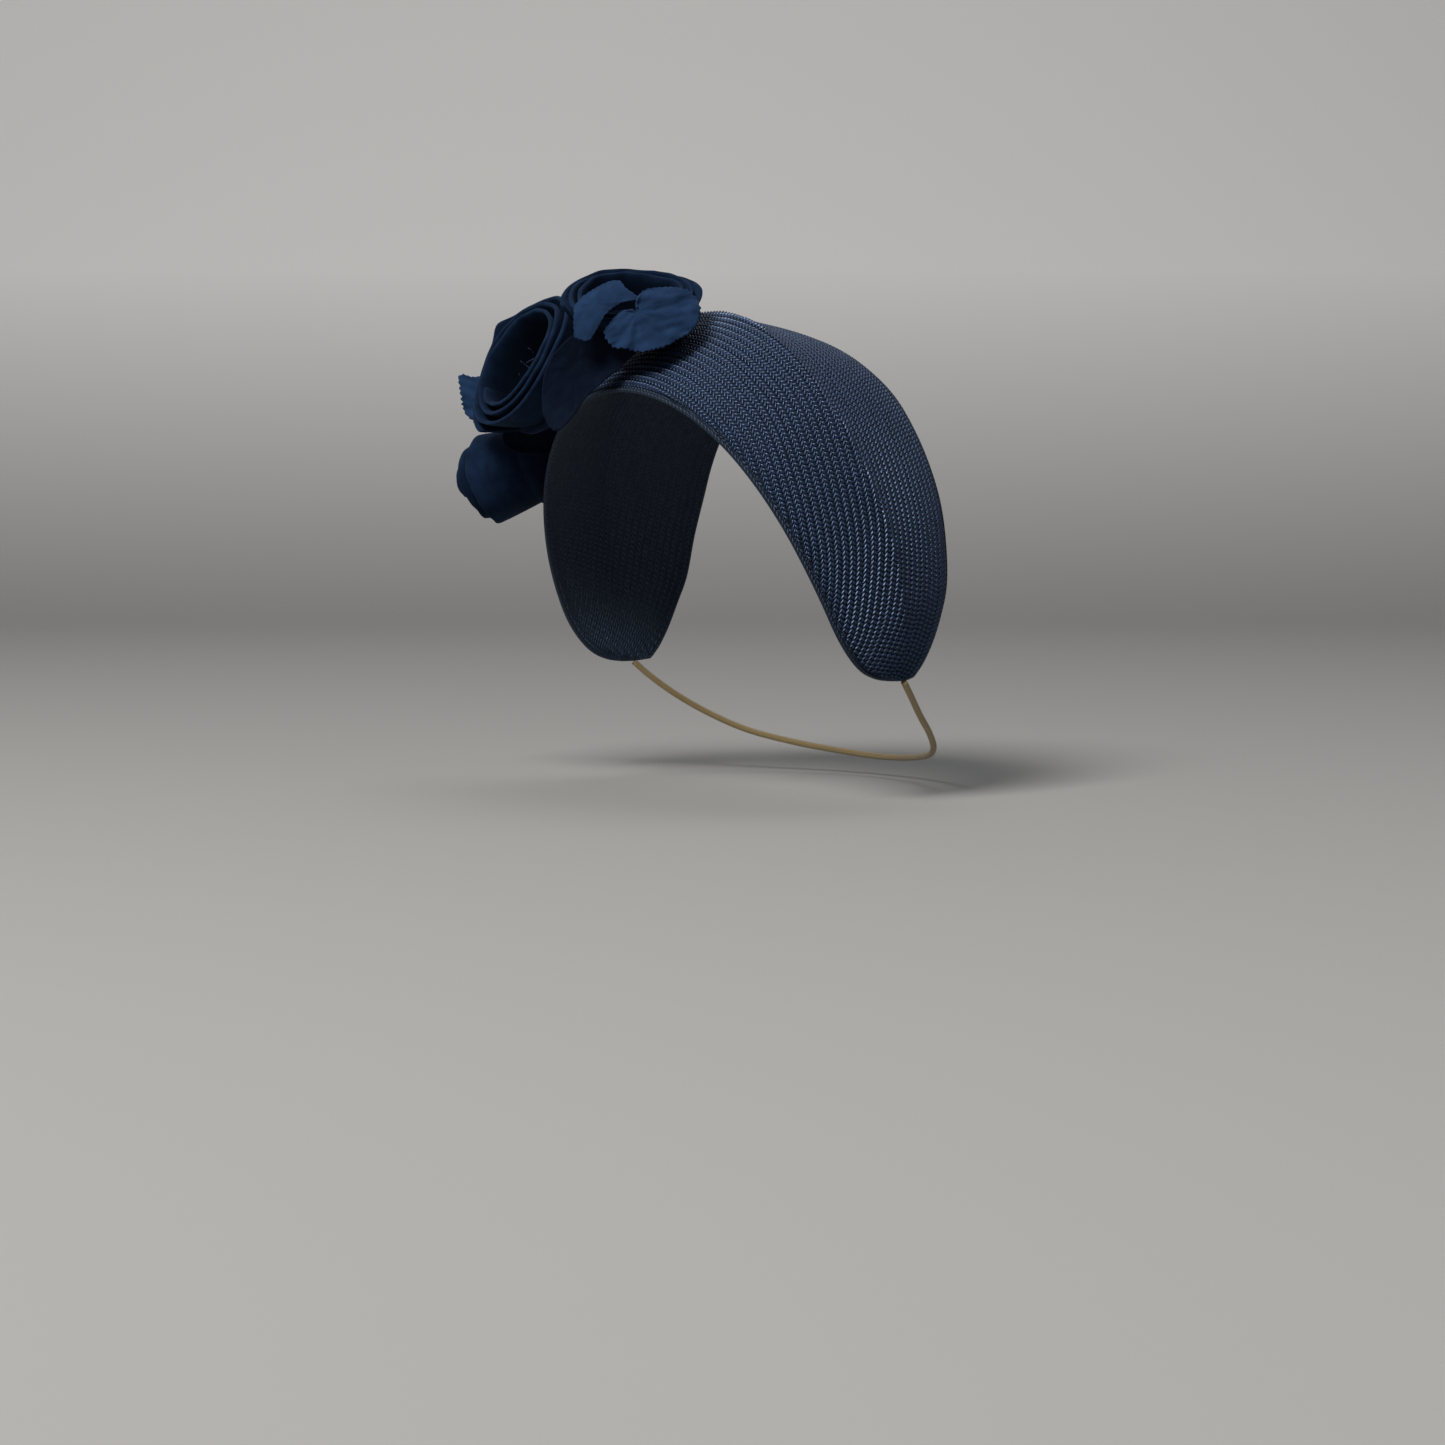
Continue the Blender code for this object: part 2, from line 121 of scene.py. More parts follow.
@dataclass
class BandSurface:
    """The band's blocked form, read at a place along half of it and a share across it."""

    head: HeadForm
    lean: float = 20.0
    front: float = 0.0247
    back: float = 0.066
    wall: float = 0.002
    ease: float = 0.0008
    ridge: float = 0.009
    roll: float = 0.0012
    roll_width: float = 0.006
    hollow: float = 1.8
    lip: float = 0.35
    lip_fall: float = 8.0
    slope_fall: float = 1.2
    rows: int = 16
    columns: int = 96
    outer: Array = field(init=False)
    normal: Array = field(init=False)
    depth: Array = field(init=False)

    def __post_init__(self) -> None:
        """Sample the outer face, its normals and each point's distance from the back edge."""
        places = [row / self.rows for row in range(self.last * self.rows + 1)]
        shares = [column / self.columns for column in range(self.columns + 1)]
        self.outer = np.array([[self.point(place, share, self.wall) for share in shares] for place in places])
        down = np.gradient(self.outer, axis=0)
        across = np.gradient(self.outer, axis=1)
        normal = np.cross(across, down)
        normal /= np.linalg.norm(normal, axis=2, keepdims=True)
        outward = self.outer + np.array(self.head.top)
        self.normal = normal * np.sign(np.sum(normal * outward, axis=2, keepdims=True))
        steps = np.linalg.norm(np.diff(self.outer, axis=1), axis=2)
        from_front = np.concatenate([np.zeros((len(places), 1)), np.cumsum(steps, axis=1)], axis=1)
        self.depth = from_front[:, -1:] - from_front

    @property
    def last(self) -> int:
        """The last place in the table of stations."""
        return len(BAND_STATIONS) - 1

    def point(self, place: float, across: float, out: float) -> Vector:
        """Find a point of the blocked form.

        Args:
            place: The fractional place in the table of stations, from the top of the head down to the tip.
            across: The share across the band, from its front edge to its back edge.
            out: How far beyond the inner face, in metres.

        Returns:
            The point in the frame of the part.
        """
        lean = radians(self.lean)
        section = Station(*(spline(column, place) for column in zip(*BAND_STATIONS)))
        front, back = section.front * self.front, -section.back * self.back
        turn = radians(section.front_turn + (section.back_turn - section.front_turn) * across)
        outward = Vector((cos(turn), -sin(lean) * sin(turn), cos(lean) * sin(turn)))
        station = Vector((0.0, -cos(lean), -sin(lean))) * (front + (back - front) * across)
        edge = min(across, 1.0 - across) * (front - back)
        lift = self.ease + self.roll * sin(min(edge / self.roll_width, 1.0) * pi / 2)
        if across <= section.crest:
            share = (across / section.crest) ** self.hollow
        else:
            behind = (1.0 - across) / (1.0 - section.crest)
            share = self.lip * behind ** self.lip_fall + (1.0 - self.lip) * behind ** self.slope_fall
        lift += self.ridge * section.ridge * share
        return station + outward * (self.head.distance(outward, station) + lift + out) - self.head.top

    def read(self, grid: Array, place: Array, across: Array) -> Array:
        """Read a sampled grid between its samples, at places in the table of stations and shares across."""
        i = np.clip(place * self.rows, 0.0, self.last * self.rows - 1e-6)
        j = np.clip(across * self.columns, 0.0, self.columns - 1e-6)
        low_i, low_j = i.astype(int), j.astype(int)
        di, dj = (i - low_i)[:, None], (j - low_j)[:, None]
        near = grid[low_i, low_j] * (1 - dj) + grid[low_i, low_j + 1] * dj
        far = grid[low_i + 1, low_j] * (1 - dj) + grid[low_i + 1, low_j + 1] * dj
        return near * (1 - di) + far * di

    def wrap(self, side: Array, place: Array, across: Array, out: Array) -> Array:
        """Carry points onto the form at heights over its outer face, mirrored where side is below 0."""
        points = self.read(self.outer, place, across) + self.read(self.normal, place, across) * out[:, None]
        points[:, 0] = np.where(side < 0.0, -points[:, 0], points[:, 0])
        return points


def runs_along(points: Array) -> Array:
    """Return the length run at each point of a line."""
    return np.concatenate([[0.0], np.cumsum(np.linalg.norm(np.diff(points, axis=0), axis=1))])


def linked(name: str, data: bpy.types.ID) -> bpy.types.Object:
    """Make an object of some data and link it to the scene."""
    made = bpy.data.objects.new(name, data)
    bpy.context.scene.collection.objects.link(made)
    return made


def placed(origin: Sequence[float], along: Sequence[float], facing: Sequence[float]) -> Matrix:
    """Return a placement whose X runs along and whose Z faces as given."""
    x_axis, z_axis = Vector(along), Vector(facing)
    made = Matrix((x_axis, z_axis.cross(x_axis), z_axis)).transposed().to_4x4()
    made.translation = Vector(origin)
    return made


class Tree:
    """A node tree that is filled with short calls."""

    def __init__(self, tree: bpy.types.NodeTree) -> None:
        """Start filling a tree."""
        self.tree = tree

    def node(self, kind: str, **values: object) -> bpy.types.Node:
        """Add a node and set its named properties."""
        made = self.tree.nodes.new(kind)
        for name, value in values.items():
            setattr(made, name, value)
        return made

    def feed(self, socket: bpy.types.NodeSocket, value: object) -> None:
        """Link an output to a socket, or set the socket's own value."""
        if isinstance(value, bpy.types.NodeSocket):
            self.tree.links.new(value, socket)
        else:
            socket.default_value = value

    def math(self, operation: str, *values: object) -> bpy.types.NodeSocket:
        """Add a math node and return its output."""
        made = self.node("ShaderNodeMath", operation=operation)
        for socket, value in zip(made.inputs, values):
            self.feed(socket, value)
        return made.outputs[0]

    def blend(self, share: object, low: object, high: object) -> bpy.types.NodeSocket:
        """Mix two colours and return the mixed one."""
        made = self.node("ShaderNodeMix", data_type="RGBA")
        self.feed(made.inputs["Factor"], share)
        self.feed(made.inputs["A"], low)
        self.feed(made.inputs["B"], high)
        return made.outputs["Result"]

    def spread(self, value: object, low: float, high: float, to_low: float = 0.0, to_high: float = 1.0
               ) -> bpy.types.NodeSocket:
        """Carry a value from one range to another, clamped."""
        made = self.node("ShaderNodeMapRange")
        for name, number in (("Value", value), ("From Min", low), ("From Max", high),
                             ("To Min", to_low), ("To Max", to_high)):
            self.feed(made.inputs[name], number)
        return made.outputs["Result"]

    def noise(self, vector: bpy.types.NodeSocket, scale: float, detail: float = 2.0) -> bpy.types.NodeSocket:
        """Add a noise texture and return its value."""
        made = self.node("ShaderNodeTexNoise")
        self.feed(made.inputs["Vector"], vector)
        self.feed(made.inputs["Scale"], scale)
        self.feed(made.inputs["Detail"], detail)
        return made.outputs["Fac"]

    def object_place(self) -> bpy.types.NodeSocket:
        """Return the place on the piece."""
        return self.node("ShaderNodeTexCoord").outputs["Object"]

    def cloth_place(self) -> bpy.types.NodeSocket:
        """Return the piece's own map, in metres along and across the cloth."""
        return self.node("ShaderNodeUVMap", uv_map="weave").outputs["UV"]


def new_effect(name: str, settings: dict[str, float], results: Sequence[str]
               ) -> tuple[Tree, bpy.types.Node, bpy.types.Node, bpy.types.Node]:
    """Start a node group that reads a place on the piece's own map.

    Args:
        name: The group's name.
        settings: Its other inputs, with their usual values.
        results: Its outputs.

    Returns:
        Its tree, its entry, its exit and the place split into its axes.
    """
    group = bpy.data.node_groups.new(name, "ShaderNodeTree")
    group.interface.new_socket("Place", in_out="INPUT", socket_type="NodeSocketVector")
    for setting, value in settings.items():
        group.interface.new_socket(setting, in_out="INPUT", socket_type="NodeSocketFloat").default_value = value
    for result in results:
        group.interface.new_socket(result, in_out="OUTPUT", socket_type="NodeSocketFloat")
    tree = Tree(group)
    entry, leave = tree.node("NodeGroupInput"), tree.node("NodeGroupOutput")
    split = tree.node("ShaderNodeSeparateXYZ")
    tree.feed(split.inputs[0], entry.outputs["Place"])
    return tree, entry, leave, split


def thread_group() -> bpy.types.ShaderNodeTree:
    """Build the woven-thread effect: crossing threads, as a height, and a slow variation of tone."""
    tree, entry, leave, split = new_effect("cloth_threads", {"Pitch": 0.0004}, ["Height", "Tone"])
    turns = tree.math("DIVIDE", 2 * pi, entry.outputs["Pitch"])
    warp = tree.math("SINE", tree.math("MULTIPLY", split.outputs["X"], turns))
    weft = tree.math("SINE", tree.math("MULTIPLY", split.outputs["Y"], turns))
    cross = tree.math("MULTIPLY", warp, weft)
    slub = tree.noise(entry.outputs["Place"], 900.0, 3.0)
    tree.feed(leave.inputs["Height"], tree.math("ADD", tree.math("MULTIPLY", cross, 0.5), slub))
    tree.feed(leave.inputs["Tone"], tree.noise(entry.outputs["Place"], 160.0, 4.0))
    return tree.tree


def braid_group() -> bpy.types.ShaderNodeTree:
    """Build the plaited effect: the height of strands that slant to meet in a V in each row of braid."""
    tree, entry, leave, split = new_effect("straw_plait", {"Row": 0.0033, "Stitch": 0.0018}, ["Height"])
    rows = tree.math("DIVIDE", split.outputs["Y"], entry.outputs["Row"])
    bent = tree.math("ABSOLUTE", tree.math("SUBTRACT", tree.math("FRACT", rows), 0.5))
    slant = tree.math("MULTIPLY", bent, entry.outputs["Row"])
    phase = tree.math("DIVIDE", tree.math("ADD", split.outputs["X"], slant), entry.outputs["Stitch"])
    strand = tree.math("ABSOLUTE", tree.math("SINE", tree.math("MULTIPLY", phase, pi)))
    seam = tree.spread(tree.math("ABSOLUTE", tree.math("SUBTRACT", bent, 0.25)), 0.12, 0.25, 1.0, 0.0)
    tree.feed(leave.inputs["Height"], tree.math("MULTIPLY", strand, seam))
    return tree.tree


class Finish:
    """A named material with a Principled shader, filled by its kind of finish."""

    def __init__(self, name: str, roughness: float, slot: str) -> None:
        """Make the material and keep the slot that it belongs to."""
        self.slot = slot
        self.material = bpy.data.materials.new(name)
        self.material.use_nodes = True
        self.tree = Tree(self.material.node_tree)
        self.shader = self.material.node_tree.nodes["Principled BSDF"]
        self.shader.inputs["Roughness"].default_value = roughness

    def bump(self, height: bpy.types.NodeSocket, distance: float, strength: float = 1.0,
             under: bpy.types.NodeSocket | None = None) -> bpy.types.NodeSocket:
        """Turn a height into a bent normal, over another where one is given."""
        made = self.tree.node("ShaderNodeBump")
        made.inputs["Strength"].default_value = strength
        made.inputs["Distance"].default_value = distance
        self.tree.feed(made.inputs["Height"], height)
        if under:
            self.tree.feed(made.inputs["Normal"], under)
        return made.outputs["Normal"]


@dataclass(frozen=True)
class StrawFinish:
    """Dyed straw braid: dark navy, satin on each strand."""

    name: str
    dark: tuple[float, float, float]
    light: tuple[float, float, float]
    roughness: float
    plaited: bool = False

    TINT = (0.48, 0.67, 1.0, 1.0)
    STRAND_TONE, SLOW_TONE = 0.75, 0.4

    def build(self, plait: bpy.types.ShaderNodeTree) -> Finish:
        """Make the material, plaited by the group where it is asked for."""
        made = Finish(self.name, self.roughness, "straw")
        tree, shader = made.tree, made.shader
        shader.inputs["Specular IOR Level"].default_value = 1.0
        shader.inputs["Specular Tint"].default_value = self.TINT
        place = tree.object_place()
        strand = tree.node("ShaderNodeAttribute", attribute_name="strand").outputs["Fac"]
        slow = tree.math("MULTIPLY", tree.noise(place, 60.0), self.SLOW_TONE)
        tone = tree.math("ADD", tree.math("MULTIPLY", strand, self.STRAND_TONE), slow)
        tree.feed(shader.inputs["Base Color"], tree.blend(tone, (*self.dark, 1.0), (*self.light, 1.0)))
        rough = tree.spread(tree.noise(place, 420.0), 0.3, 0.7, self.roughness - 0.06, self.roughness + 0.10)
        tree.feed(shader.inputs["Roughness"], rough)
        normal = made.bump(tree.noise(place, 900.0, 1.0), 0.00003)
        if self.plaited:
            group = tree.node("ShaderNodeGroup", node_tree=plait)
            tree.feed(group.inputs["Place"], tree.cloth_place())
            normal = made.bump(group.outputs["Height"], 0.0004, 1.0, normal)
        tree.feed(shader.inputs["Normal"], normal)
        return made


@dataclass(frozen=True)
class ClothFinish:
    """Matt dyed flower cloth with fine threads, slow changes of tone and a soft sheen, with painted shade deep
    in folds and mouths.
    """

    name: str
    slot: str
    dark: tuple[float, float, float]
    light: tuple[float, float, float]
    sheen: float
    roughness: float = 0.82

    TINT = (0.4, 0.6, 1.0, 1.0)
    SHEEN_TINT = (0.25, 0.45, 0.90, 1.0)
    DEEP = 0.12

    def build(self, threads: bpy.types.ShaderNodeTree) -> Finish:
        """Make the material, with the woven-thread group over a soft crush and painted shade from the open
        attribute.
        """
        made = Finish(self.name, self.roughness, self.slot)
        tree, shader = made.tree, made.shader
        shader.inputs["Specular IOR Level"].default_value = 0.06
        shader.inputs["Specular Tint"].default_value = self.TINT
        shader.inputs["Sheen Roughness"].default_value = 0.45
        shader.inputs["Sheen Tint"].default_value = self.SHEEN_TINT
        group = tree.node("ShaderNodeGroup", node_tree=threads)
        tree.feed(group.inputs["Place"], tree.cloth_place())
        mottle = tree.math("MULTIPLY", tree.noise(tree.object_place(), 130.0, 4.0), 0.5)
        tone = tree.math("ADD", tree.math("MULTIPLY", group.outputs["Tone"], 0.5), mottle)
        share = tree.spread(tone, 0.3, 0.7)
        dyed = tree.blend(share, (*self.dark, 1.0), (*self.light, 1.0))
        # Painted shade: where the open attribute is low, deep in folds and mouths, the colour falls toward a
        # much darker navy and the sheen fades.
        deep = tuple(self.DEEP * channel for channel in self.dark)
        sky = tree.node("ShaderNodeAttribute", attribute_name="open").outputs["Fac"]
        tree.feed(shader.inputs["Base Color"], tree.blend(sky, (*deep, 1.0), dyed))
        tree.feed(shader.inputs["Sheen Weight"], tree.math("MULTIPLY", sky, self.sheen))
        crush = made.bump(tree.noise(tree.object_place(), 260.0, 3.0), 0.0006, 0.8)
        tree.feed(shader.inputs["Normal"], made.bump(group.outputs["Height"], 0.00010, 0.7, crush))
        return made


@dataclass(frozen=True)
class ElasticFinish:
    """Round covered elastic in dull gold thread, plaited round its core."""

    name: str = "gold_elastic_thread"
    dark: tuple[float, float, float] = (0.22, 0.14, 0.045)
    light: tuple[float, float, float] = (0.52, 0.38, 0.16)
    row: float = 0.00125
    stitch: float = 0.0007

    def build(self, plait: bpy.types.ShaderNodeTree) -> Finish:
        """Make the material, plaited by the group."""
        made = Finish(self.name, 0.5, "elastic")
        tree, shader = made.tree, made.shader
        shader.inputs["Sheen Weight"].default_value = 0.3
        group = tree.node("ShaderNodeGroup", node_tree=plait)
        tree.feed(group.inputs["Place"], tree.cloth_place())
        group.inputs["Row"].default_value = self.row
        group.inputs["Stitch"].default_value = self.stitch
        height = group.outputs["Height"]
        # Gold thread colour, painted darker in the plait's grooves and lighter on its crowns: painted shade
        # following the plait's height.
        tree.feed(shader.inputs["Base Color"], tree.blend(height, (*self.dark, 1.0), (*self.light, 1.0)))
        tree.feed(shader.inputs["Normal"], made.bump(height, 0.00018))
        return made


def dress(name: str, mesh: bpy.types.Mesh, finish: Finish) -> bpy.types.Object:
    """Link a mesh, already in place, as a piece of the headband, smooth and in its finish."""
    made = linked(name, mesh)
    mesh.materials.append(finish.material)
    mesh.shade_smooth()
    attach(made, "root")
    return made


def write_back(work: bmesh.types.BMesh, name: str) -> bpy.types.Mesh:
    """Put finished mesh work in a mesh of its own and free the work."""
    mesh = bpy.data.meshes.new(name)
    work.to_mesh(mesh)
    work.free()
    return mesh


def shaped_grid(steps: int, sides: int, shape: Callable[[float, float], Vector],
                lay: Callable[[float, float], tuple[float, float]],
                open_sky: Callable[[float, float], float] = lambda along, across: 1.0) -> bmesh.types.BMesh:
    """Shape a flat grid into a sheet of cloth.

    Args:
        steps: Faces along.
        sides: Faces across.
        shape: Gives the place of a vertex from its shares along and across.
        lay: Gives the cloth's own map, in metres, from the same shares.
        open_sky: Gives the painted lightness there, from 0, full painted shade as in a deep fold, to 1,
            unshaded.

    Returns:
        The sheet, open, with its map named weave and its painted lightness named open.
    """
    work = bmesh.new()
    bmesh.ops.create_grid(work, x_segments=steps, y_segments=sides, size=0.5)
    layer = work.loops.layers.uv.new("weave")
    # The open layer holds painted shade: 0 is fully shaded, 1 is unshaded.
    openness = work.verts.layers.float.new("open")
    for face in work.faces:
        for loop in face.loops:
            loop[layer].uv = lay(loop.vert.co.x + 0.5, loop.vert.co.y + 0.5)
    for vertex in work.verts:
        along, across = vertex.co.x + 0.5, vertex.co.y + 0.5
        vertex[openness] = open_sky(along, across)
        vertex.co = shape(along, across)
    return work


def give_wall(piece: bpy.types.Object, wall: float, offset: float, smoothing: int = 0,
              even: bool = True) -> None:
    """Give an open sheet its wall, even at sharp bends unless told not to, and round it off when smoothing is
    given.
    """
    solid = piece.modifiers.new("wall", "SOLIDIFY")
    solid.thickness = wall
    solid.offset = offset
    solid.use_even_offset = even
    if smoothing:
        soft = piece.modifiers.new("soft", "SUBSURF")
        soft.levels = smoothing
        soft.render_levels = smoothing


def tube(name: str, path: Sequence[Vector], radius: float, sides: int,
         closed: bool = False) -> bpy.types.Mesh:
    """Lay a round tube along a path, with its map in metres along and round it.

    Args:
        name: The mesh's name.
        path: The points of its centreline.
        radius: Its radius.
        sides: Faces round it.
        closed: Whether the path's end meets its start.

    Returns:
        The mesh, its ends closed.
    """
    points = list(path) + ([path[0]] if closed else [])
    last = len(points) - 1
    lengths = [0.0]
    for start, end in zip(points, points[1:]):
        lengths.append(lengths[-1] + (end - start).length)
    frames = []
    side = Vector((0.0, 0.0, 1.0))
    for index in range(last + 1):
        ahead = points[min(index + 1, last)] - points[max(index - 1, 0)]
        if closed and index in (0, last):
            ahead = points[1] - points[-2]
        ahead.normalize()
        side = (side - ahead * side.dot(ahead)).normalized()
        frames.append((side, ahead.cross(side)))
    if closed:
        frames[-1] = frames[0]

    def place(along: float, around: float) -> Vector:
        index = round(along * last)
        first, second = frames[index]
        angle = 2 * pi * around
        return points[index] + (first * cos(angle) + second * sin(angle)) * radius

    work = shaped_grid(last, sides, place, lambda u, v: (lengths[round(u * last)], v * 2 * pi * radius))
    bmesh.ops.remove_doubles(work, verts=work.verts, dist=1e-6)
    rims = [edge for edge in work.edges if edge.is_boundary]
    if rims:
        bmesh.ops.holes_fill(work, edges=rims, sides=0)
    bmesh.ops.recalc_face_normals(work, faces=work.faces)
    return write_back(work, name)


@dataclass
class StrawBand:
    """The straw band: its shell, its rows of plaited braid and its rolled edge."""

    surface: BandSurface
    row: float = 0.0032
    stitch: float = 0.00172
    slant: float = 37.0
    strand_width: float = 0.00108
    strand_height: float = 0.00088
    strand_floor: float = -0.0006
    row_gap: float = 0.0006
    edge_radius: float = 0.0009
    margin: float = 0.0010
    along: int = 8
    across: int = 60

    STRAND_FACES, STRAND_OVERLAP = 4, 0.3
    CROWN = 0.96
    OUTER_DIP, OUTER_DIP_POWER = 0.95, 2.5
    INNER_DIP, INNER_DIP_POWER = 0.45, 4
    OUTER_TAPER, INNER_TAPER, TAPER_POWER = 0.30, 0.15, 3
    SHIFT, SHIFT_STEP, SHIFTS = 0.37, 7, 5
    PROBE = 0.001
    EDGE_STEPS, EDGE_SIDES, TIP_STEPS = 6, 10, 10

    def shell(self, finish: Finish) -> bpy.types.Object:
        """Build the blocked shell under the braid, which stands for the CAD band."""
        surface = self.surface
        steps = surface.last * self.along * 2
        middle = surface.outer[:, surface.columns // 2]
        runs = runs_along(middle)

        def signed(share: float) -> float:
            return (2.0 * share - 1.0) * surface.last

        def lay(u: float, v: float) -> tuple[float, float]:
            place = signed(u)
            run = float(np.interp(abs(place) * surface.rows, np.arange(len(runs)), runs))
            depth = surface.read(surface.depth[:, :, None], np.array([abs(place)]), np.array([v]))[0, 0]
            return (run if place >= 0 else -run, float(depth))

        def shape(u: float, v: float) -> Vector:
            place = signed(u)
            values = [np.array([value]) for value in (place, abs(place), v, self.strand_floor)]
            return Vector(surface.wrap(*values)[0])

        work = shaped_grid(steps, self.across, shape, lay)
        bmesh.ops.recalc_face_normals(work, faces=work.faces)
        upper = max(work.faces, key=lambda face: face.calc_center_median().z)
        if upper.normal.z < 0:
            bmesh.ops.reverse_faces(work, faces=work.faces)
        made = dress("straw_shell", write_back(work, "straw_shell"), finish)
        give_wall(made, surface.wall + self.strand_floor - 0.0001, -1.0)
        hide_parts("straw_band")
        return made

    def strand(self, work: bmesh.types.BMesh, side: float) -> None:
        """Shape one short round strand and lay it slantwise on its side of the row, 1 or -1."""
        faces = self.STRAND_FACES
        made = bmesh.ops.create_grid(work, x_segments=faces, y_segments=faces, size=0.5)["verts"]
        reach = (self.row - self.row_gap) / 2
        length = reach / sin(radians(self.slant)) + self.strand_width * self.STRAND_OVERLAP
        for vertex in made:
            u, v = vertex.co.x * 2.0, vertex.co.y * 2.0
            crown = sqrt(max(1.0 - self.CROWN * v * v, 0.0))
            outer = max(u * side, 0.0)
            inner = max(-u * side, 0.0)
            dip = self.OUTER_DIP * outer ** self.OUTER_DIP_POWER + self.INNER_DIP * inner ** self.INNER_DIP_POWER
            taper = self.OUTER_TAPER * outer ** self.TAPER_POWER + self.INNER_TAPER * inner ** self.TAPER_POWER
            width = self.strand_width * (1.0 - taper)
            height = self.strand_floor + self.strand_height * crown * (1.0 - dip)
            vertex.co = Vector((u * length / 2, v * width / 2, height))
        turn = Matrix.Rotation(radians(self.slant) * side, 4, "Z")
        middle = Vector((self.stitch * (1.0 - side) / 4, side * reach / 2, 0.0))
        bmesh.ops.transform(work, matrix=Matrix.Translation(middle) @ turn, verts=made)

    def plait(self, count: int) -> Array:
        """Lay a straight row of plait, its middle at the origin, by repeating one pair of strands."""
        work = bmesh.new()
        self.strand(work, 1.0)
        self.strand(work, -1.0)
        piece = linked("plait", write_back(work, "plait"))
        repeat = piece.modifiers.new("repeat", "ARRAY")
        repeat.count = count
        repeat.use_relative_offset = False
        repeat.use_constant_offset = True
        repeat.constant_offset_displace = (self.stitch, 0.0, 0.0)
        bpy.context.view_layer.update()
        mesh = bpy.data.meshes.new_from_object(piece.evaluated_get(bpy.context.evaluated_depsgraph_get()))
        mesh.transform(Matrix.Translation((-self.stitch * (count - 1) / 2, 0.0, 0.0)))
        bpy.data.objects.remove(piece, do_unlink=True)
        return mesh

    def row_path(self, depth: float) -> tuple[Array, Array, Array]:
        """Follow a row of braid from the top of the head to where it meets the front edge or the tip.

        Args:
            depth: The row's distance from the back edge.

        Returns:
            The length run, the share across and the share across a metre, at each sampled place.
        """
        surface = self.surface
        widths = surface.depth[:, 0]
        inside = np.nonzero(widths - self.margin + self.row / 2 < depth)[0]
        end = inside[0] if len(inside) else len(widths) - 2
        if end < 2:
            return np.zeros(0), np.zeros(0), np.zeros(0)
        shares = np.linspace(0.0, 1.0, surface.columns + 1)
        across = np.array([np.interp(-depth, -surface.depth[i], shares) for i in range(end)])
        places = np.arange(end) / surface.rows
        points = surface.read(surface.outer, places, across)
        ahead = np.array([np.interp(-depth - self.PROBE, -surface.depth[i], shares) for i in range(end)])
        return runs_along(points), across, (across - ahead) / self.PROBE

    def braid(self, name: str, rows: range, finish: Finish) -> bpy.types.Object:
        """Lay rows of braid over the shell, from the back edge forward.

        Args:
            name: The piece's name.
            rows: The rows' numbers.
            finish: The straw finish.

        Returns:
            The object.
        """
        work = bmesh.new()
        tones = []
        for number in rows:
            depth = self.margin + (number + 0.5) * self.row
            runs, across, rate = self.row_path(depth)
            if not len(runs) or runs[-1] < self.stitch * 2:
                continue
            count = int(2 * (runs[-1] - self.stitch / 2) / self.stitch)
            mesh = self.plait(count)
            flat = np.empty(len(mesh.vertices) * 3)
            mesh.vertices.foreach_get("co", flat)
            flat = flat.reshape(-1, 3)
            shift = self.stitch * self.SHIFT * ((number * self.SHIFT_STEP) % self.SHIFTS) / self.SHIFTS
            along = np.clip(flat[:, 0] + shift, -runs[-1], runs[-1])
            place = np.interp(np.abs(along), runs, np.arange(len(runs)) / self.surface.rows)
            share = np.interp(np.abs(along), runs, across) + flat[:, 1] * np.interp(np.abs(along), runs, rate)
            first = self.margin / self.surface.depth[:, 0]
            share = np.maximum(share, np.interp(place * self.surface.rows, np.arange(len(first)), first))
            wrapped = self.surface.wrap(along, place, share, flat[:, 2])
            mesh.vertices.foreach_set("co", wrapped.ravel())
            work.from_mesh(mesh)
            per_strand = len(flat) // (2 * count)
            generator = np.random.default_rng(1000 + number)
            tones.append(np.repeat(generator.random(2 * count), per_strand))
            bpy.data.meshes.remove(mesh)
        bmesh.ops.recalc_face_normals(work, faces=work.faces)
        mesh = write_back(work, name)
        values = np.concatenate(tones)
        mesh.attributes.new("strand", "FLOAT", "POINT").data.foreach_set("value", values)
        return dress(name, mesh, finish)

    def edge(self, finish: Finish) -> bpy.types.Object:
        """Roll the dark edge round the whole rim."""
        surface = self.surface
        places = [index / self.EDGE_STEPS for index in range(surface.last * self.EDGE_STEPS + 1)]
        low = surface.wall / 2
        front = [surface.point(place, 0.0, low) for place in places]
        tip = [surface.point(surface.last, step / self.TIP_STEPS, low) for step in range(1, self.TIP_STEPS)]
        back = [surface.point(place, 1.0, low) for place in reversed(places)]
        half = front + tip + back
        other = [Vector((-point.x, point.y, point.z)) for point in reversed(half[1:-1])]
        mesh = tube("straw_edge", half + other, self.edge_radius, self.EDGE_SIDES, closed=True)
        return dress("straw_edge", mesh, finish)


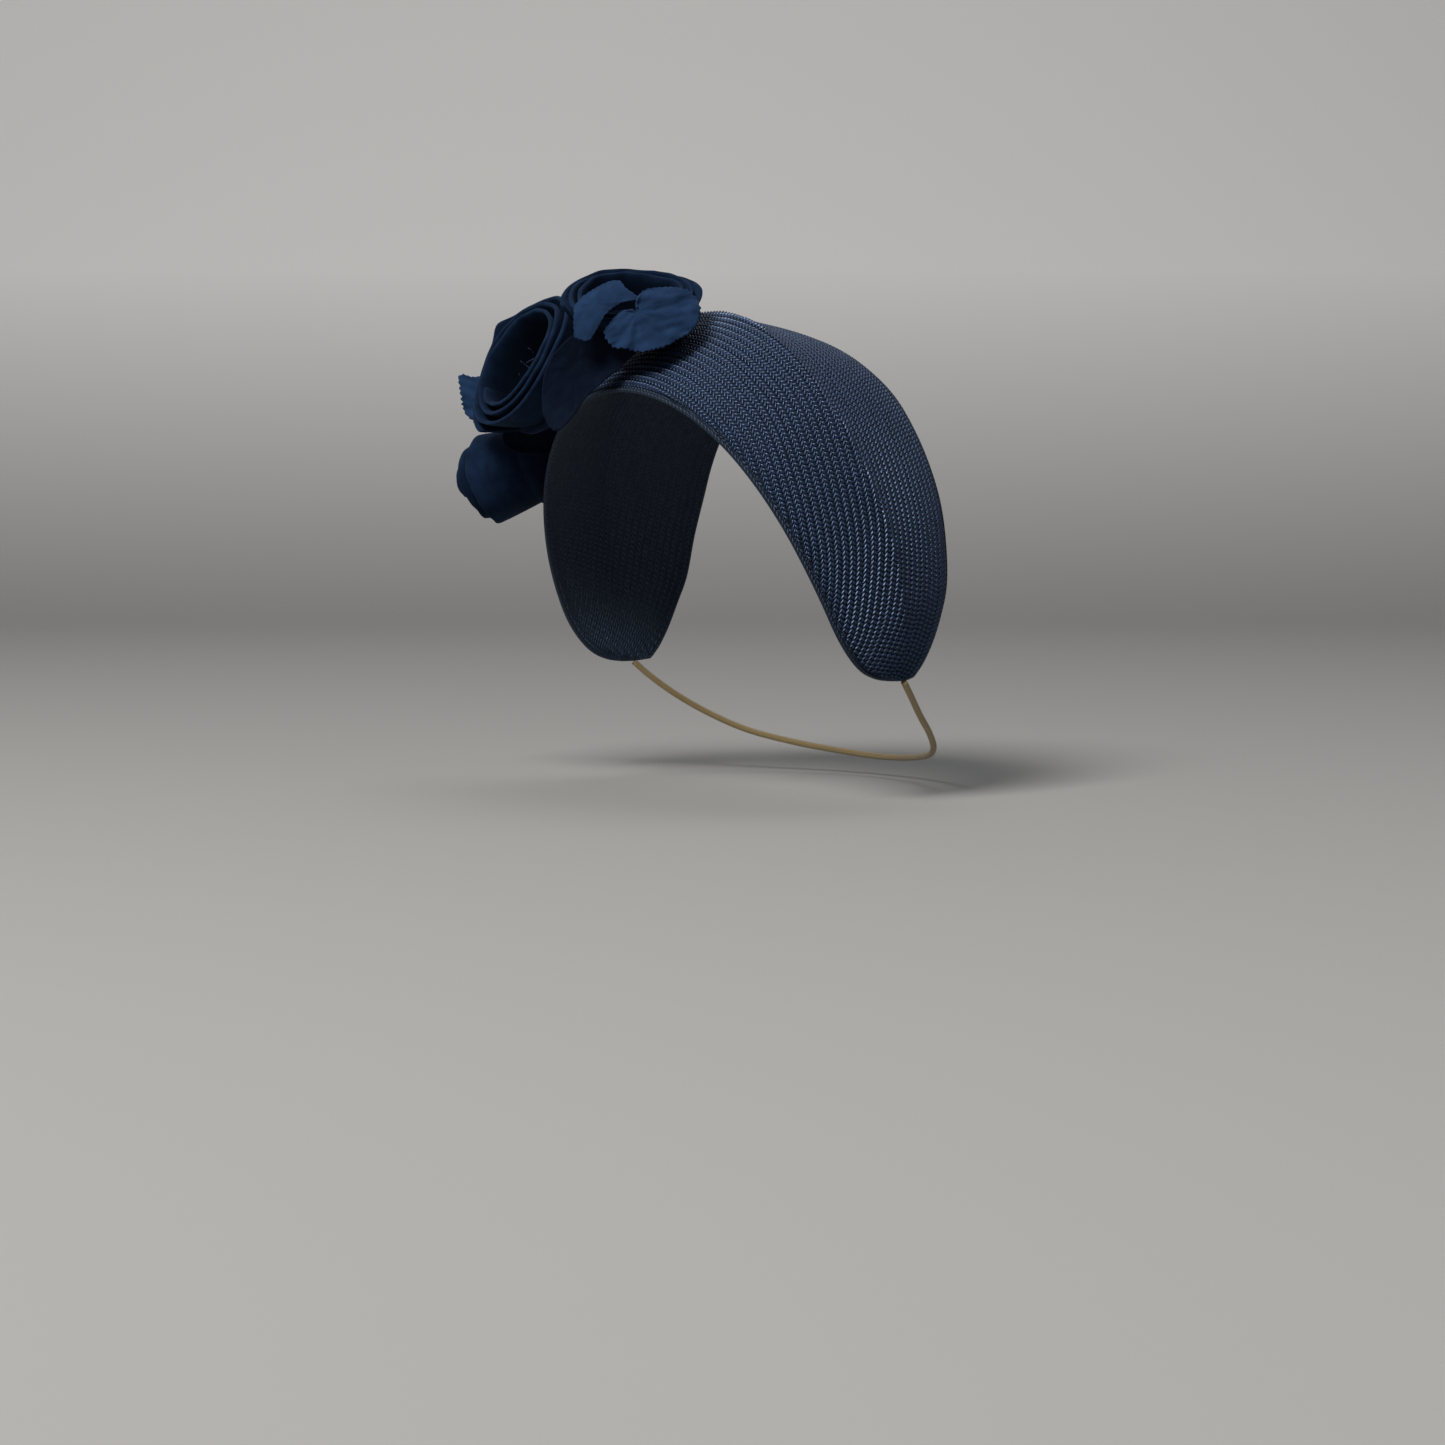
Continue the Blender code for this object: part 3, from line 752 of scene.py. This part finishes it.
@dataclass
class WoundRose:
    """A rose wound from one strip of cloth round an open mouth, on a closed cup."""

    name: str
    origin: tuple[float, float, float]
    side: tuple[float, float, float]
    axis: tuple[float, float, float]
    radius: float
    mouth: float
    height: float
    squash: float
    layers: float
    seam: float
    waist: float
    drop: float
    crush: float = 0.001
    corners: tuple[tuple[float, float, float], ...] = ()
    wall: float = 0.0016
    turn_steps: int = 72
    rows: int = 14

    FLOOR, FLARE = 0.22, 0.7
    WAVE, WAVE_RISE, WAVE_LEAD = 0.035, 0.04, 1.0
    WAVE_DOUBLE, WAVE_TRIPLE = 0.6, 0.4
    CRUSH_ALONG, CRUSH_UP, CRUSH_LOW = 1.1, 1.2, 0.35
    FOLD_ALONG, FOLD_SLANT, FOLD_UP, FOLD_SEED = 3.7, 2.0, 1.8, 9.0
    OUT_CRUSH, OUT_FOLD = 0.9, 0.35
    RISE_CRUSH, RISE_FOLD = 1.2, 0.4
    # Painted shade in the wound strip: the least light deep down, how fast it lifts with height, and the extra
    # light on the outermost turn.
    DEEP_OPEN, DEEP_FALL, OUTER_OPEN, OUTER_START = 0.04, 6, 0.7, 0.15
    CUP_LEVEL, CUP_HEIGHT, CUP_FOOT, CUP_SEAM, CUP_LIP = 0.30, 0.34, 0.30, 0.0015, 0.001
    CUP_INSIDE = [(0.0, 0.45), (0.8, 0.55), (1.0, 1.0)]
    CUP_OUTSIDE = [(1.0, 1.0), (0.96, 0.70), (0.80, 0.36)]
    CUP_STEPS, CUP_OPEN = 40, 0.8

    def placement(self) -> Matrix:
        """Return the rose's place on the band."""
        return placed(self.origin, self.side, self.axis)

    def wave(self, angle: float) -> float:
        """Return the gentle waver of the rim at an angle round the axis."""
        double, triple = sin(2 * angle + self.seam), sin(3 * angle + 2 * self.seam)
        return double * self.WAVE_DOUBLE + triple * self.WAVE_TRIPLE

    def strip(self, share: float, level: float) -> Vector:
        """Find a point of the wound strip.

        Args:
            share: The share of the strip's length, from the mouth outward.
            level: The share of its height, from the cup to the rim.

        Returns:
            The point in the rose's own frame.
        """
        angle = 2 * pi * self.layers * share + radians(self.seam)
        rim = self.mouth + (self.radius - self.mouth) * share
        flare = self.waist + (1.0 - self.waist) * level ** self.FLARE
        radius = rim * flare * (1.0 + self.WAVE * level * self.wave(angle))
        floor = self.FLOOR * self.height
        height = floor + (self.height * (1.0 - self.drop * share ** 2) - floor) * level
        height += self.height * level * self.WAVE_RISE * self.wave(angle + self.WAVE_LEAD)
        turns = 2 * pi * self.layers * share
        crumple = noise.noise(Vector((turns * self.CRUSH_ALONG, level * self.CRUSH_UP, self.seam)))
        crumple *= self.CRUSH_LOW + (1.0 - self.CRUSH_LOW) * level
        fold = noise.noise(Vector((turns * self.FOLD_ALONG + self.FOLD_SLANT * level, level * self.FOLD_UP,
                                   self.seam + self.FOLD_SEED)))
        radius += self.crush * (self.OUT_CRUSH * crumple + self.OUT_FOLD * fold)
        height += self.crush * level * (self.RISE_CRUSH * crumple + self.RISE_FOLD * fold)
        for turn, spread, rise in self.corners:
            away = abs((degrees(angle) - turn + 180.0) % 360.0 - 180.0) / spread
            if share > 1.0 - 1.0 / self.layers:
                height += rise * max(1.0 - away, 0.0) * level ** 3
        return Vector((radius * cos(angle), radius * self.squash * sin(angle), height))

    def openness(self, share: float, level: float) -> float:
        """Return the strip's painted lightness: painted shade darkest low in the mouth and between the layers,
        lifting toward the rims and on the outermost turn.
        """
        outermost = min(max((share * self.layers - self.layers + 1.0) / self.OUTER_START, 0.0), 1.0)
        return min(1.0, self.DEEP_OPEN + level ** self.DEEP_FALL + self.OUTER_OPEN * outermost)

    def build(self, finish: Finish) -> bpy.types.Object:
        """Wind the strip, which stands for the CAD rose, and close it with its cup."""
        run = 2 * pi * self.layers * (self.radius + self.mouth) / 2
        steps = round(self.layers * self.turn_steps)
        work = shaped_grid(steps, self.rows, self.strip, lambda u, v: (u * run, v * self.height),
                           self.openness)
        strip = dress(self.name + "_cloth", write_back(work, self.name + "_cloth"), finish)
        strip.data.transform(self.placement())
        give_wall(strip, self.wall, 0.0, 1)
        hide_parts(self.name)
        cup = self.cup(finish)
        log.info("%s: %d turns of cloth and %s", self.name, round(self.layers), cup.name)
        return strip

    def cup(self, finish: Finish) -> bpy.types.Object:
        """Turn the closed cup under the strip."""
        outer = self.radius * (self.waist + (1.0 - self.waist) * self.CUP_LEVEL) + self.CUP_LIP
        inner = self.mouth * self.waist - self.CUP_SEAM
        top = self.CUP_HEIGHT * self.height
        profile = [(across * inner, up * top) for across, up in self.CUP_INSIDE]
        profile += [(across * outer, up * top) for across, up in self.CUP_OUTSIDE]
        profile += [(self.CUP_FOOT * self.radius, 0.0), (0.0, 0.0)]
        work = bmesh.new()
        line = [work.verts.new((radius, 0.0, height)) for radius, height in profile]
        edges = [work.edges.new(pair) for pair in zip(line, line[1:])]
        bmesh.ops.spin(work, geom=line + edges, cent=(0.0, 0.0, 0.0), axis=(0.0, 0.0, 1.0), angle=2 * pi,
                       steps=self.CUP_STEPS, use_merge=True)
        bmesh.ops.remove_doubles(work, verts=work.verts, dist=1e-5)
        openness = work.verts.layers.float.new("open")
        # Painted shade: the cup's inner wall is fully shaded, the rest of the cup partly.
        for vertex in work.verts:
            inside = vertex.co.xy.length < inner + 1e-5 and vertex.co.z > 0.4 * top
            vertex[openness] = 0.0 if inside else self.CUP_OPEN
        bmesh.ops.transform(work, matrix=Matrix.Diagonal((1.0, self.squash, 1.0, 1.0)), verts=work.verts)
        bmesh.ops.recalc_face_normals(work, faces=work.faces)
        layer = work.loops.layers.uv.new("weave")
        for face in work.faces:
            for loop in face.loops:
                loop[layer].uv = (loop.vert.co.x, loop.vert.co.y)
        bmesh.ops.transform(work, matrix=self.placement(), verts=work.verts)
        return dress(self.name + "_cup", write_back(work, self.name + "_cup"), finish)


@dataclass
class CutLeaf:
    """A leaf or petal cut to an outline, bent along and cupped across, its creases fanning from one point."""

    name: str
    origin: tuple[float, float, float]
    along: tuple[float, float, float]
    facing: tuple[float, float, float]
    outline: Sequence[tuple[float, float]]
    fan: tuple[float, float]
    length: float
    width: float
    bend: float
    cup: float
    teeth: float = 0.0
    crease: float = 0.0008
    closed: bool = True
    pitch: float = 0.0021
    wall: float = 0.0007
    rays: int = 190
    rings: int = 26
    edge: Array = field(init=False)
    round: Array = field(init=False)

    MILLIMETRES = 1000.0
    EDGE_STEPS = 12
    TOOTH_LEAST, TOOTH_SPREAD, TOOTH_SCALE, TOOTH_FALL = 0.7, 0.6, 330.0, 10
    SHIFT, SHIFT_SCALE = 0.4, 200.0
    FAN_CREASES, FAN_REACH = 2.6, 1.2
    RIPPLE_ALONG, RIPPLE_ACROSS, RIPPLE_SHARE = 150.0, 420.0, 0.5
    LENGTH_SEED, TOOTH_SEED, WIDTH_SEED = 90.0, 500.0, 300.0

    def __post_init__(self) -> None:
        """Smooth the outline and measure the way round it."""
        knots = list(self.outline) + (list(self.outline[:1]) if self.closed else [])
        places = [step / self.EDGE_STEPS for step in range((len(knots) - 1) * self.EDGE_STEPS + 1)]
        smooth = np.array([[spline(column, place) for column in zip(*knots)] for place in places])
        self.edge = smooth / self.MILLIMETRES
        self.round = runs_along(self.edge)

    def shape(self, u: float, v: float) -> Vector:
        """Find a point of the leaf in its own frame from its shares outward and round."""
        run = v * self.round[-1]
        middle = Vector((self.fan[0] / self.MILLIMETRES, self.fan[1] / self.MILLIMETRES))
        rim = Vector((float(np.interp(run, self.round, self.edge[:, 0])),
                      float(np.interp(run, self.round, self.edge[:, 1])))) - middle
        depth = noise.noise(Vector((run * self.TOOTH_SCALE, self.length * self.TOOTH_SEED, 1.0)))
        uneven = self.TOOTH_LEAST + self.TOOTH_SPREAD * depth
        shift = self.SHIFT * noise.noise(Vector((run * self.SHIFT_SCALE, 5.0, 2.0)))
        tooth = abs((run / self.pitch + shift) % 1.0 - 0.5) * 2.0
        rim *= 1.0 - self.teeth * uneven * tooth * u ** self.TOOTH_FALL / max(rim.length, 0.001)
        flat = middle + rim * u
        along, across = flat.x / self.length, 2.0 * flat.y / self.width
        z = self.bend * self.length * (4.0 * along ** 2 - 0.5) + self.cup * self.width * across ** 2
        turn = atan2(rim.y, rim.x)
        ring = Vector((cos(turn) * self.FAN_CREASES, sin(turn) * self.FAN_CREASES,
                       u * self.FAN_REACH + self.length * self.LENGTH_SEED))
        ripple = Vector((flat.x * self.RIPPLE_ALONG, flat.y * self.RIPPLE_ACROSS, self.width * self.WIDTH_SEED))
        z += self.crease * (noise.noise(ring) * u + self.RIPPLE_SHARE * noise.noise(ripple))
        return Vector((flat.x, flat.y, z))

    def build(self, finish: Finish) -> bpy.types.Object:
        """Cut and shape the leaf, which stands for the CAD leaf."""
        work = shaped_grid(self.rings, self.rays, self.shape,
                           lambda u, v: (u * self.length / 2, v * self.round[-1]))
        bmesh.ops.remove_doubles(work, verts=work.verts, dist=2e-6)
        bmesh.ops.transform(work, matrix=placed(self.origin, self.along, self.facing), verts=work.verts)
        made = dress(self.name + "_cloth", write_back(work, self.name + "_cloth"), finish)
        give_wall(made, self.wall, 0.0, even=False)
        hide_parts(self.name)
        return made


@dataclass
class FrayedThreads:
    """A few pale threads that curl out of the cut edge deep in a rose's mouth."""

    host: WoundRose
    middle: tuple[float, float, float]
    count: int = 14
    spread: float = 0.006
    length: float = 0.0042
    radius: float = 0.00013

    SEED = 7
    LIFT, CURL, REACH = 0.4, 0.7, 0.7
    STEPS, SIDES = 6, 5

    def build(self, finish: Finish) -> bpy.types.Object:
        """Curl the threads, all in one mesh."""
        generator = np.random.default_rng(self.SEED)
        work = bmesh.new()
        for _ in range(self.count):
            start = Vector(self.middle) + Vector(generator.uniform(-1.0, 1.0, 3)) * self.spread
            heading = Vector(generator.uniform(-1.0, 1.0, 3)) + Vector((0.0, 0.0, self.LIFT))
            curl = Vector(generator.uniform(-1.0, 1.0, 3))
            path = []
            for step in range(self.STEPS + 1):
                share = step / self.STEPS
                path.append(start + (heading * share + curl * share ** 2 * self.CURL) * self.length * self.REACH)
            thread = tube("thread", path, self.radius, self.SIDES)
            work.from_mesh(thread)
            bpy.data.meshes.remove(thread)
        bmesh.ops.transform(work, matrix=self.host.placement(), verts=work.verts)
        return dress("frayed_threads", write_back(work, "frayed_threads"), finish)


@dataclass
class NapeElastic:
    """The round elastic from one tip of the band round the nape to the other."""

    top: Vector
    diameter: float = 0.0024
    spacing: int = 12

    ROUTE = [(0.0772, 0.0130, -0.0247), (0.0745, 0.0190, -0.0304), (0.0695, 0.0280, -0.0378),
             (0.0625, 0.0395, -0.0455), (0.0525, 0.0510, -0.0520), (0.0370, 0.0625, -0.0565),
             (0.0190, 0.0700, -0.0590), (0.0000, 0.0725, -0.0600)]
    SIDES = 16

    def path(self) -> list[Vector]:
        """Return the elastic's centreline, in the frame of the part."""
        knots = self.ROUTE + [(-x, y, z) for x, y, z in reversed(self.ROUTE[:-1])]
        columns = list(zip(*knots))
        places = [step / self.spacing for step in range((len(knots) - 1) * self.spacing + 1)]
        return [Vector([spline(column, place) for column in columns]) - self.top for place in places]

    def build(self, finish: Finish) -> bpy.types.Object:
        path = self.path()
        length = sum((end - start).length for start, end in zip(path, path[1:]))
        made = dress("elastic_thread", tube("elastic_thread", path, self.diameter / 2, self.SIDES), finish)
        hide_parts("elastic_cord")
        tuple(path[0])
        [tuple(point) for point in path]
        return made


@dataclass
class Studio:
    """The floor and backdrop, the lights and the camera."""

    wall: tuple[float, float, float] = (0.78, 0.755, 0.72)
    camera_place: tuple[float, float, float] = (0.99208, -0.83916, -0.03787)
    azimuth: float = 50.0
    dip: float = 4.5
    lens: float = 87.446
    floor: float = -0.165

    AIM = (0.0, 0.0, -0.05)
    SHEET_LENGTH, SHEET_FRONT, SHEET_WIDTH, SHEET_STEPS = 7.0, 2.5, 8.0, 80
    FLAT, BEND = 1.2, 0.9
    FLOOR_SHADE, SHADE_TOP = 0.36, 0.12
    LIGHTS = [("key", (0.45, -1.35, 1.45), 0.8, 54.0, (1.0, 0.99, 0.97)),
              ("fill", (1.6, 0.2, 0.7), 1.0, 1.2, (0.85, 0.93, 1.0)),
              ("top", (-0.3, 0.4, 1.6), 1.0, 7.0, (1.0, 1.0, 1.0))]
    SKY, SKY_STRENGTH = (0.60, 0.72, 0.90, 1.0), 0.14

    def camera(self) -> None:
        """Set the camera at the photograph's angle."""
        turn, dip = radians(self.azimuth), radians(self.dip)
        back = Vector((sin(turn) * cos(dip), -cos(turn) * cos(dip), sin(dip)))
        right = Vector((cos(turn), sin(turn), 0.0))
        view = bpy.data.cameras.new("camera")
        view.lens = self.lens
        view.sensor_width = 36.0
        view.clip_start = 0.01
        made = linked("camera", view)
        made.matrix_world = placed(self.camera_place, right, back)
        bpy.context.scene.camera = made

    def light(self, name: str, place: tuple[float, float, float], size: float, power: float,
              colour: tuple[float, float, float]) -> None:
        """Add a soft square light of some watts that faces the headband."""
        lamp = bpy.data.lights.new(name, "AREA")
        lamp.shape = "SQUARE"
        lamp.size = size
        lamp.energy = power
        lamp.color = colour
        made = linked(name, lamp)
        made.location = place
        made.rotation_euler = (Vector(place) - Vector(self.AIM)).to_track_quat("Z", "Y").to_euler()

    def sweep(self) -> None:
        """Bend one pale sheet into the floor and the backdrop, the floor darkened by painted shade."""
        turn = radians(self.azimuth)
        away = Vector((-sin(turn), cos(turn), 0.0))
        side = Vector((cos(turn), sin(turn), 0.0))

        def shape(u: float, v: float) -> Vector:
            run = u * self.SHEET_LENGTH - self.SHEET_FRONT
            bend = max(min(run - self.FLAT, self.BEND * pi / 2), 0.0) / self.BEND
            out = min(run, self.FLAT) + self.BEND * sin(bend)
            rise = self.BEND * (1.0 - cos(bend)) + max(run - self.FLAT - self.BEND * pi / 2, 0.0)
            return away * out + side * ((v - 0.5) * self.SHEET_WIDTH) + Vector((0.0, 0.0, self.floor + rise))

        work = shaped_grid(self.SHEET_STEPS, 2, shape, lambda u, v: (u, v))
        mesh = write_back(work, "sweep")
        mesh.shade_smooth()
        paper = bpy.data.materials.new("pale_paper")
        paper.use_nodes = True
        tree = Tree(paper.node_tree)
        shader = paper.node_tree.nodes["Principled BSDF"]
        shader.inputs["Roughness"].default_value = 0.9
        split = tree.node("ShaderNodeSeparateXYZ")
        tree.feed(split.inputs[0], tree.object_place())
        # Painted shade: the paper darkens from the backdrop down to the floor.
        height = tree.spread(split.outputs["Z"], self.floor, self.SHADE_TOP)
        low = tuple(self.FLOOR_SHADE * channel for channel in self.wall)
        tree.feed(shader.inputs["Base Color"], tree.blend(height, (*low, 1.0), (*self.wall, 1.0)))
        mesh.materials.append(paper)
        linked("sweep", mesh)

    def build(self) -> None:
        """Set the camera, the floor and the lights."""
        self.camera()
        self.sweep()
        for light in self.LIGHTS:
            self.light(*light)
        world = bpy.data.worlds.new("studio")
        world.use_nodes = True
        ground = world.node_tree.nodes["Background"]
        ground.inputs["Color"].default_value = self.SKY
        ground.inputs["Strength"].default_value = self.SKY_STRENGTH
        bpy.context.scene.world = world
        bpy.context.scene.view_settings.view_transform = "Standard"


ROSES = [
    WoundRose("rose_top", (-0.01192, -0.03856, 0.00109), (-0.93767, -0.20999, 0.27689),
              (0.33150, -0.30136, 0.89403), 0.0265, 0.01802, 0.01872, 0.95, 2.6, 200.0, 0.62, 0.10),
    WoundRose("rose_middle", (-0.04801, -0.04118, -0.01773), (-0.96220, 0.03452, -0.27014),
              (-0.16189, -0.87015, 0.46543), 0.02968, 0.01840, 0.0260, 1.0, 3.1, 20.0, 0.58, 0.14,
              0.0011, ((-48.0, 15.0, 0.0030),)),
    WoundRose("rose_lower", (-0.07078, -0.02513, -0.04126), (0.03629, 0.48401, -0.87431),
              (-0.80562, -0.50351, -0.31218), 0.01749, 0.01049, 0.04056, 0.90, 2.4, 90.0, 0.74, 0.22, 0.0006),
]

PALE_LEAVES = [
    CutLeaf("leaf_top", (0.01412, -0.04995, 0.00449), (0.37864, 0.88007, 0.28654),
            (0.87054, -0.44378, 0.21267),
            [(-4.0, 8.6), (-3.8, 10.0), (-2.4, 12.2), (2.0, 14.0), (9.7, 12.5), (17.0, 9.6), (19.0, 5.8),
             (19.2, 2.5), (17.4, -1.0), (13.1, -5.2), (3.8, -7.9), (-3.3, -8.5), (-7.9, -7.8), (-12.4, -5.2),
             (-16.9, -2.5), (-18.5, 3.0), (-16.1, 5.5), (-10.9, 8.6), (-6.4, 8.2)],
            (-4.9, 6.6), 0.036, 0.026, -0.12, -0.05, 0.0011, 0.0016, False),
    CutLeaf("petal_top", (0.00354, -0.06704, 0.01117), (0.09986, 0.51925, 0.84877),
            (0.73190, -0.61621, 0.29087),
            [(-13.3, 2.9), (-4.5, 7.6), (0.2, 7.2), (4.3, 5.1), (10.7, 1.3), (12.9, -1.9), (11.4, -4.8),
             (10.8, -10.2), (4.9, -6.1), (-1.6, -3.8), (-8.6, -3.2), (-12.5, -2.0)],
            (0.0, 1.0), 0.02592, 0.01352, -0.16, -0.12, 0.0006, 0.0004),
    CutLeaf("leaf_left", (-0.07894, -0.05647, -0.02107), (-0.63284, -0.70667, 0.31642),
            (-0.76031, 0.64445, -0.08133),
            [(4.8, 8.5), (7.9, 7.4), (12.9, 6.5), (10.4, -0.1), (7.0, -6.0), (1.6, -9.2), (-2.0, -11.5),
             (-6.4, -10.0), (-10.4, -9.4), (-11.5, -3.0), (-9.5, 4.0), (-3.0, 8.0)],
            (-6.0, 0.0), 0.02304, 0.02236, 0.0, 0.10, 0.0011, 0.0012),
]

# These leaves lie in shadow between the roses and the band; their darker copy of the rose cloth is painted
# shade.
DARK_LEAVES = [
    CutLeaf("leaf_dark", (-0.00325, -0.06548, -0.00901), (0.48000, 0.64000, 0.60000),
            (0.75385, -0.65071, 0.09102),
            [(-9.0, 10.8), (-2.4, 12.0), (3.0, 11.6), (9.6, 8.0), (15.0, 1.5), (18.5, -5.5), (9.0, -7.0),
             (0.4, -7.5), (-8.6, -8.5), (-15.5, -11.0), (-24.0, -12.0), (-24.0, -4.0), (-16.5, 6.0)],
            (-4.0, 2.0), 0.03312, 0.02288, 0.05, 0.10, 0.0003, 0.0005),
    CutLeaf("leaf_lower", (-0.07037, -0.04862, -0.03387), (-0.64567, -0.73647, 0.20177),
            (0.76036, -0.64445, 0.08091),
            [(5.5, -0.9), (1.0, -4.5), (-5.3, -6.8), (-14.5, -8.2), (-16.0, -1.0), (-11.0, 5.0), (-2.0, 6.3),
             (4.0, 3.8)],
            (-4.0, 0.0), 0.02592, 0.01300, 0.05, 0.10, 0.0003),
]

STRAWS = [
    # The shell is navy straw darkened far below the strands: painted shade in the gaps between the strands.
    StrawFinish("navy_straw_shell", (0.0004, 0.0007, 0.0020), (0.0012, 0.0020, 0.0052), 0.6, True),
    StrawFinish("navy_straw_strand", (0.0020, 0.0040, 0.0115), (0.0100, 0.0185, 0.0480), 0.40),
    StrawFinish("navy_straw_edge", (0.0008, 0.0012, 0.0034), (0.0020, 0.0030, 0.0080), 0.6, True),
]

CLOTHS = [
    ClothFinish("rose_navy_cloth", "rose_cloth", (0.0026, 0.0064, 0.0165), (0.0080, 0.0185, 0.0450), 0.08),
    # A darker copy of the rose cloth: painted shade for the leaves that lie in shadow.
    ClothFinish("rose_shade_cloth", "rose_cloth", (0.0022, 0.0036, 0.0085), (0.0052, 0.0085, 0.0190), 0.04),
    ClothFinish("rose_thread", "rose_cloth", (0.02, 0.03, 0.06), (0.06, 0.08, 0.14), 0.1),
    ClothFinish("leaf_blue_cloth", "leaf_cloth", (0.0095, 0.0225, 0.0560), (0.0185, 0.0430, 0.1000), 0.12),
]

BACK_ROWS, FRONT_ROWS = range(0, 15), range(15, 34)
THREAD_PLACE = (0.006, -0.003, 0.012)


def main() -> None:
    """Build the headband piece by piece."""
    logging.basicConfig(level=logging.INFO, format="%(name)s: %(message)s")
    Studio().build()
    plait, threads = braid_group(), thread_group()
    shell_straw, strand_straw, edge_straw = (straw.build(plait) for straw in STRAWS)
    rose_cloth, shade_cloth, thread_cloth, leaf_cloth = (cloth.build(threads) for cloth in CLOTHS)
    gold = ElasticFinish().build(plait)

    head = HeadForm()
    elastic = NapeElastic(head.top).build(gold)
    log.info("%s is laid", elastic.name)
    band = StrawBand(BandSurface(head))
    for piece in (band.shell(shell_straw), band.braid("straw_braid_back", BACK_ROWS, strand_straw),
                  band.braid("straw_braid_front", FRONT_ROWS, strand_straw), band.edge(edge_straw)):
        log.info("%s is built with %d vertices", piece.name, len(piece.data.vertices))
    for rose in ROSES:
        rose.build(rose_cloth)
    log.info("%s are curled", FrayedThreads(ROSES[1], THREAD_PLACE).build(thread_cloth).name)
    for leaf in DARK_LEAVES:
        log.info("%s is cut", leaf.build(shade_cloth).name)
    for leaf in PALE_LEAVES:
        log.info("%s is cut", leaf.build(leaf_cloth).name)


if __name__ == "__main__":
    main()
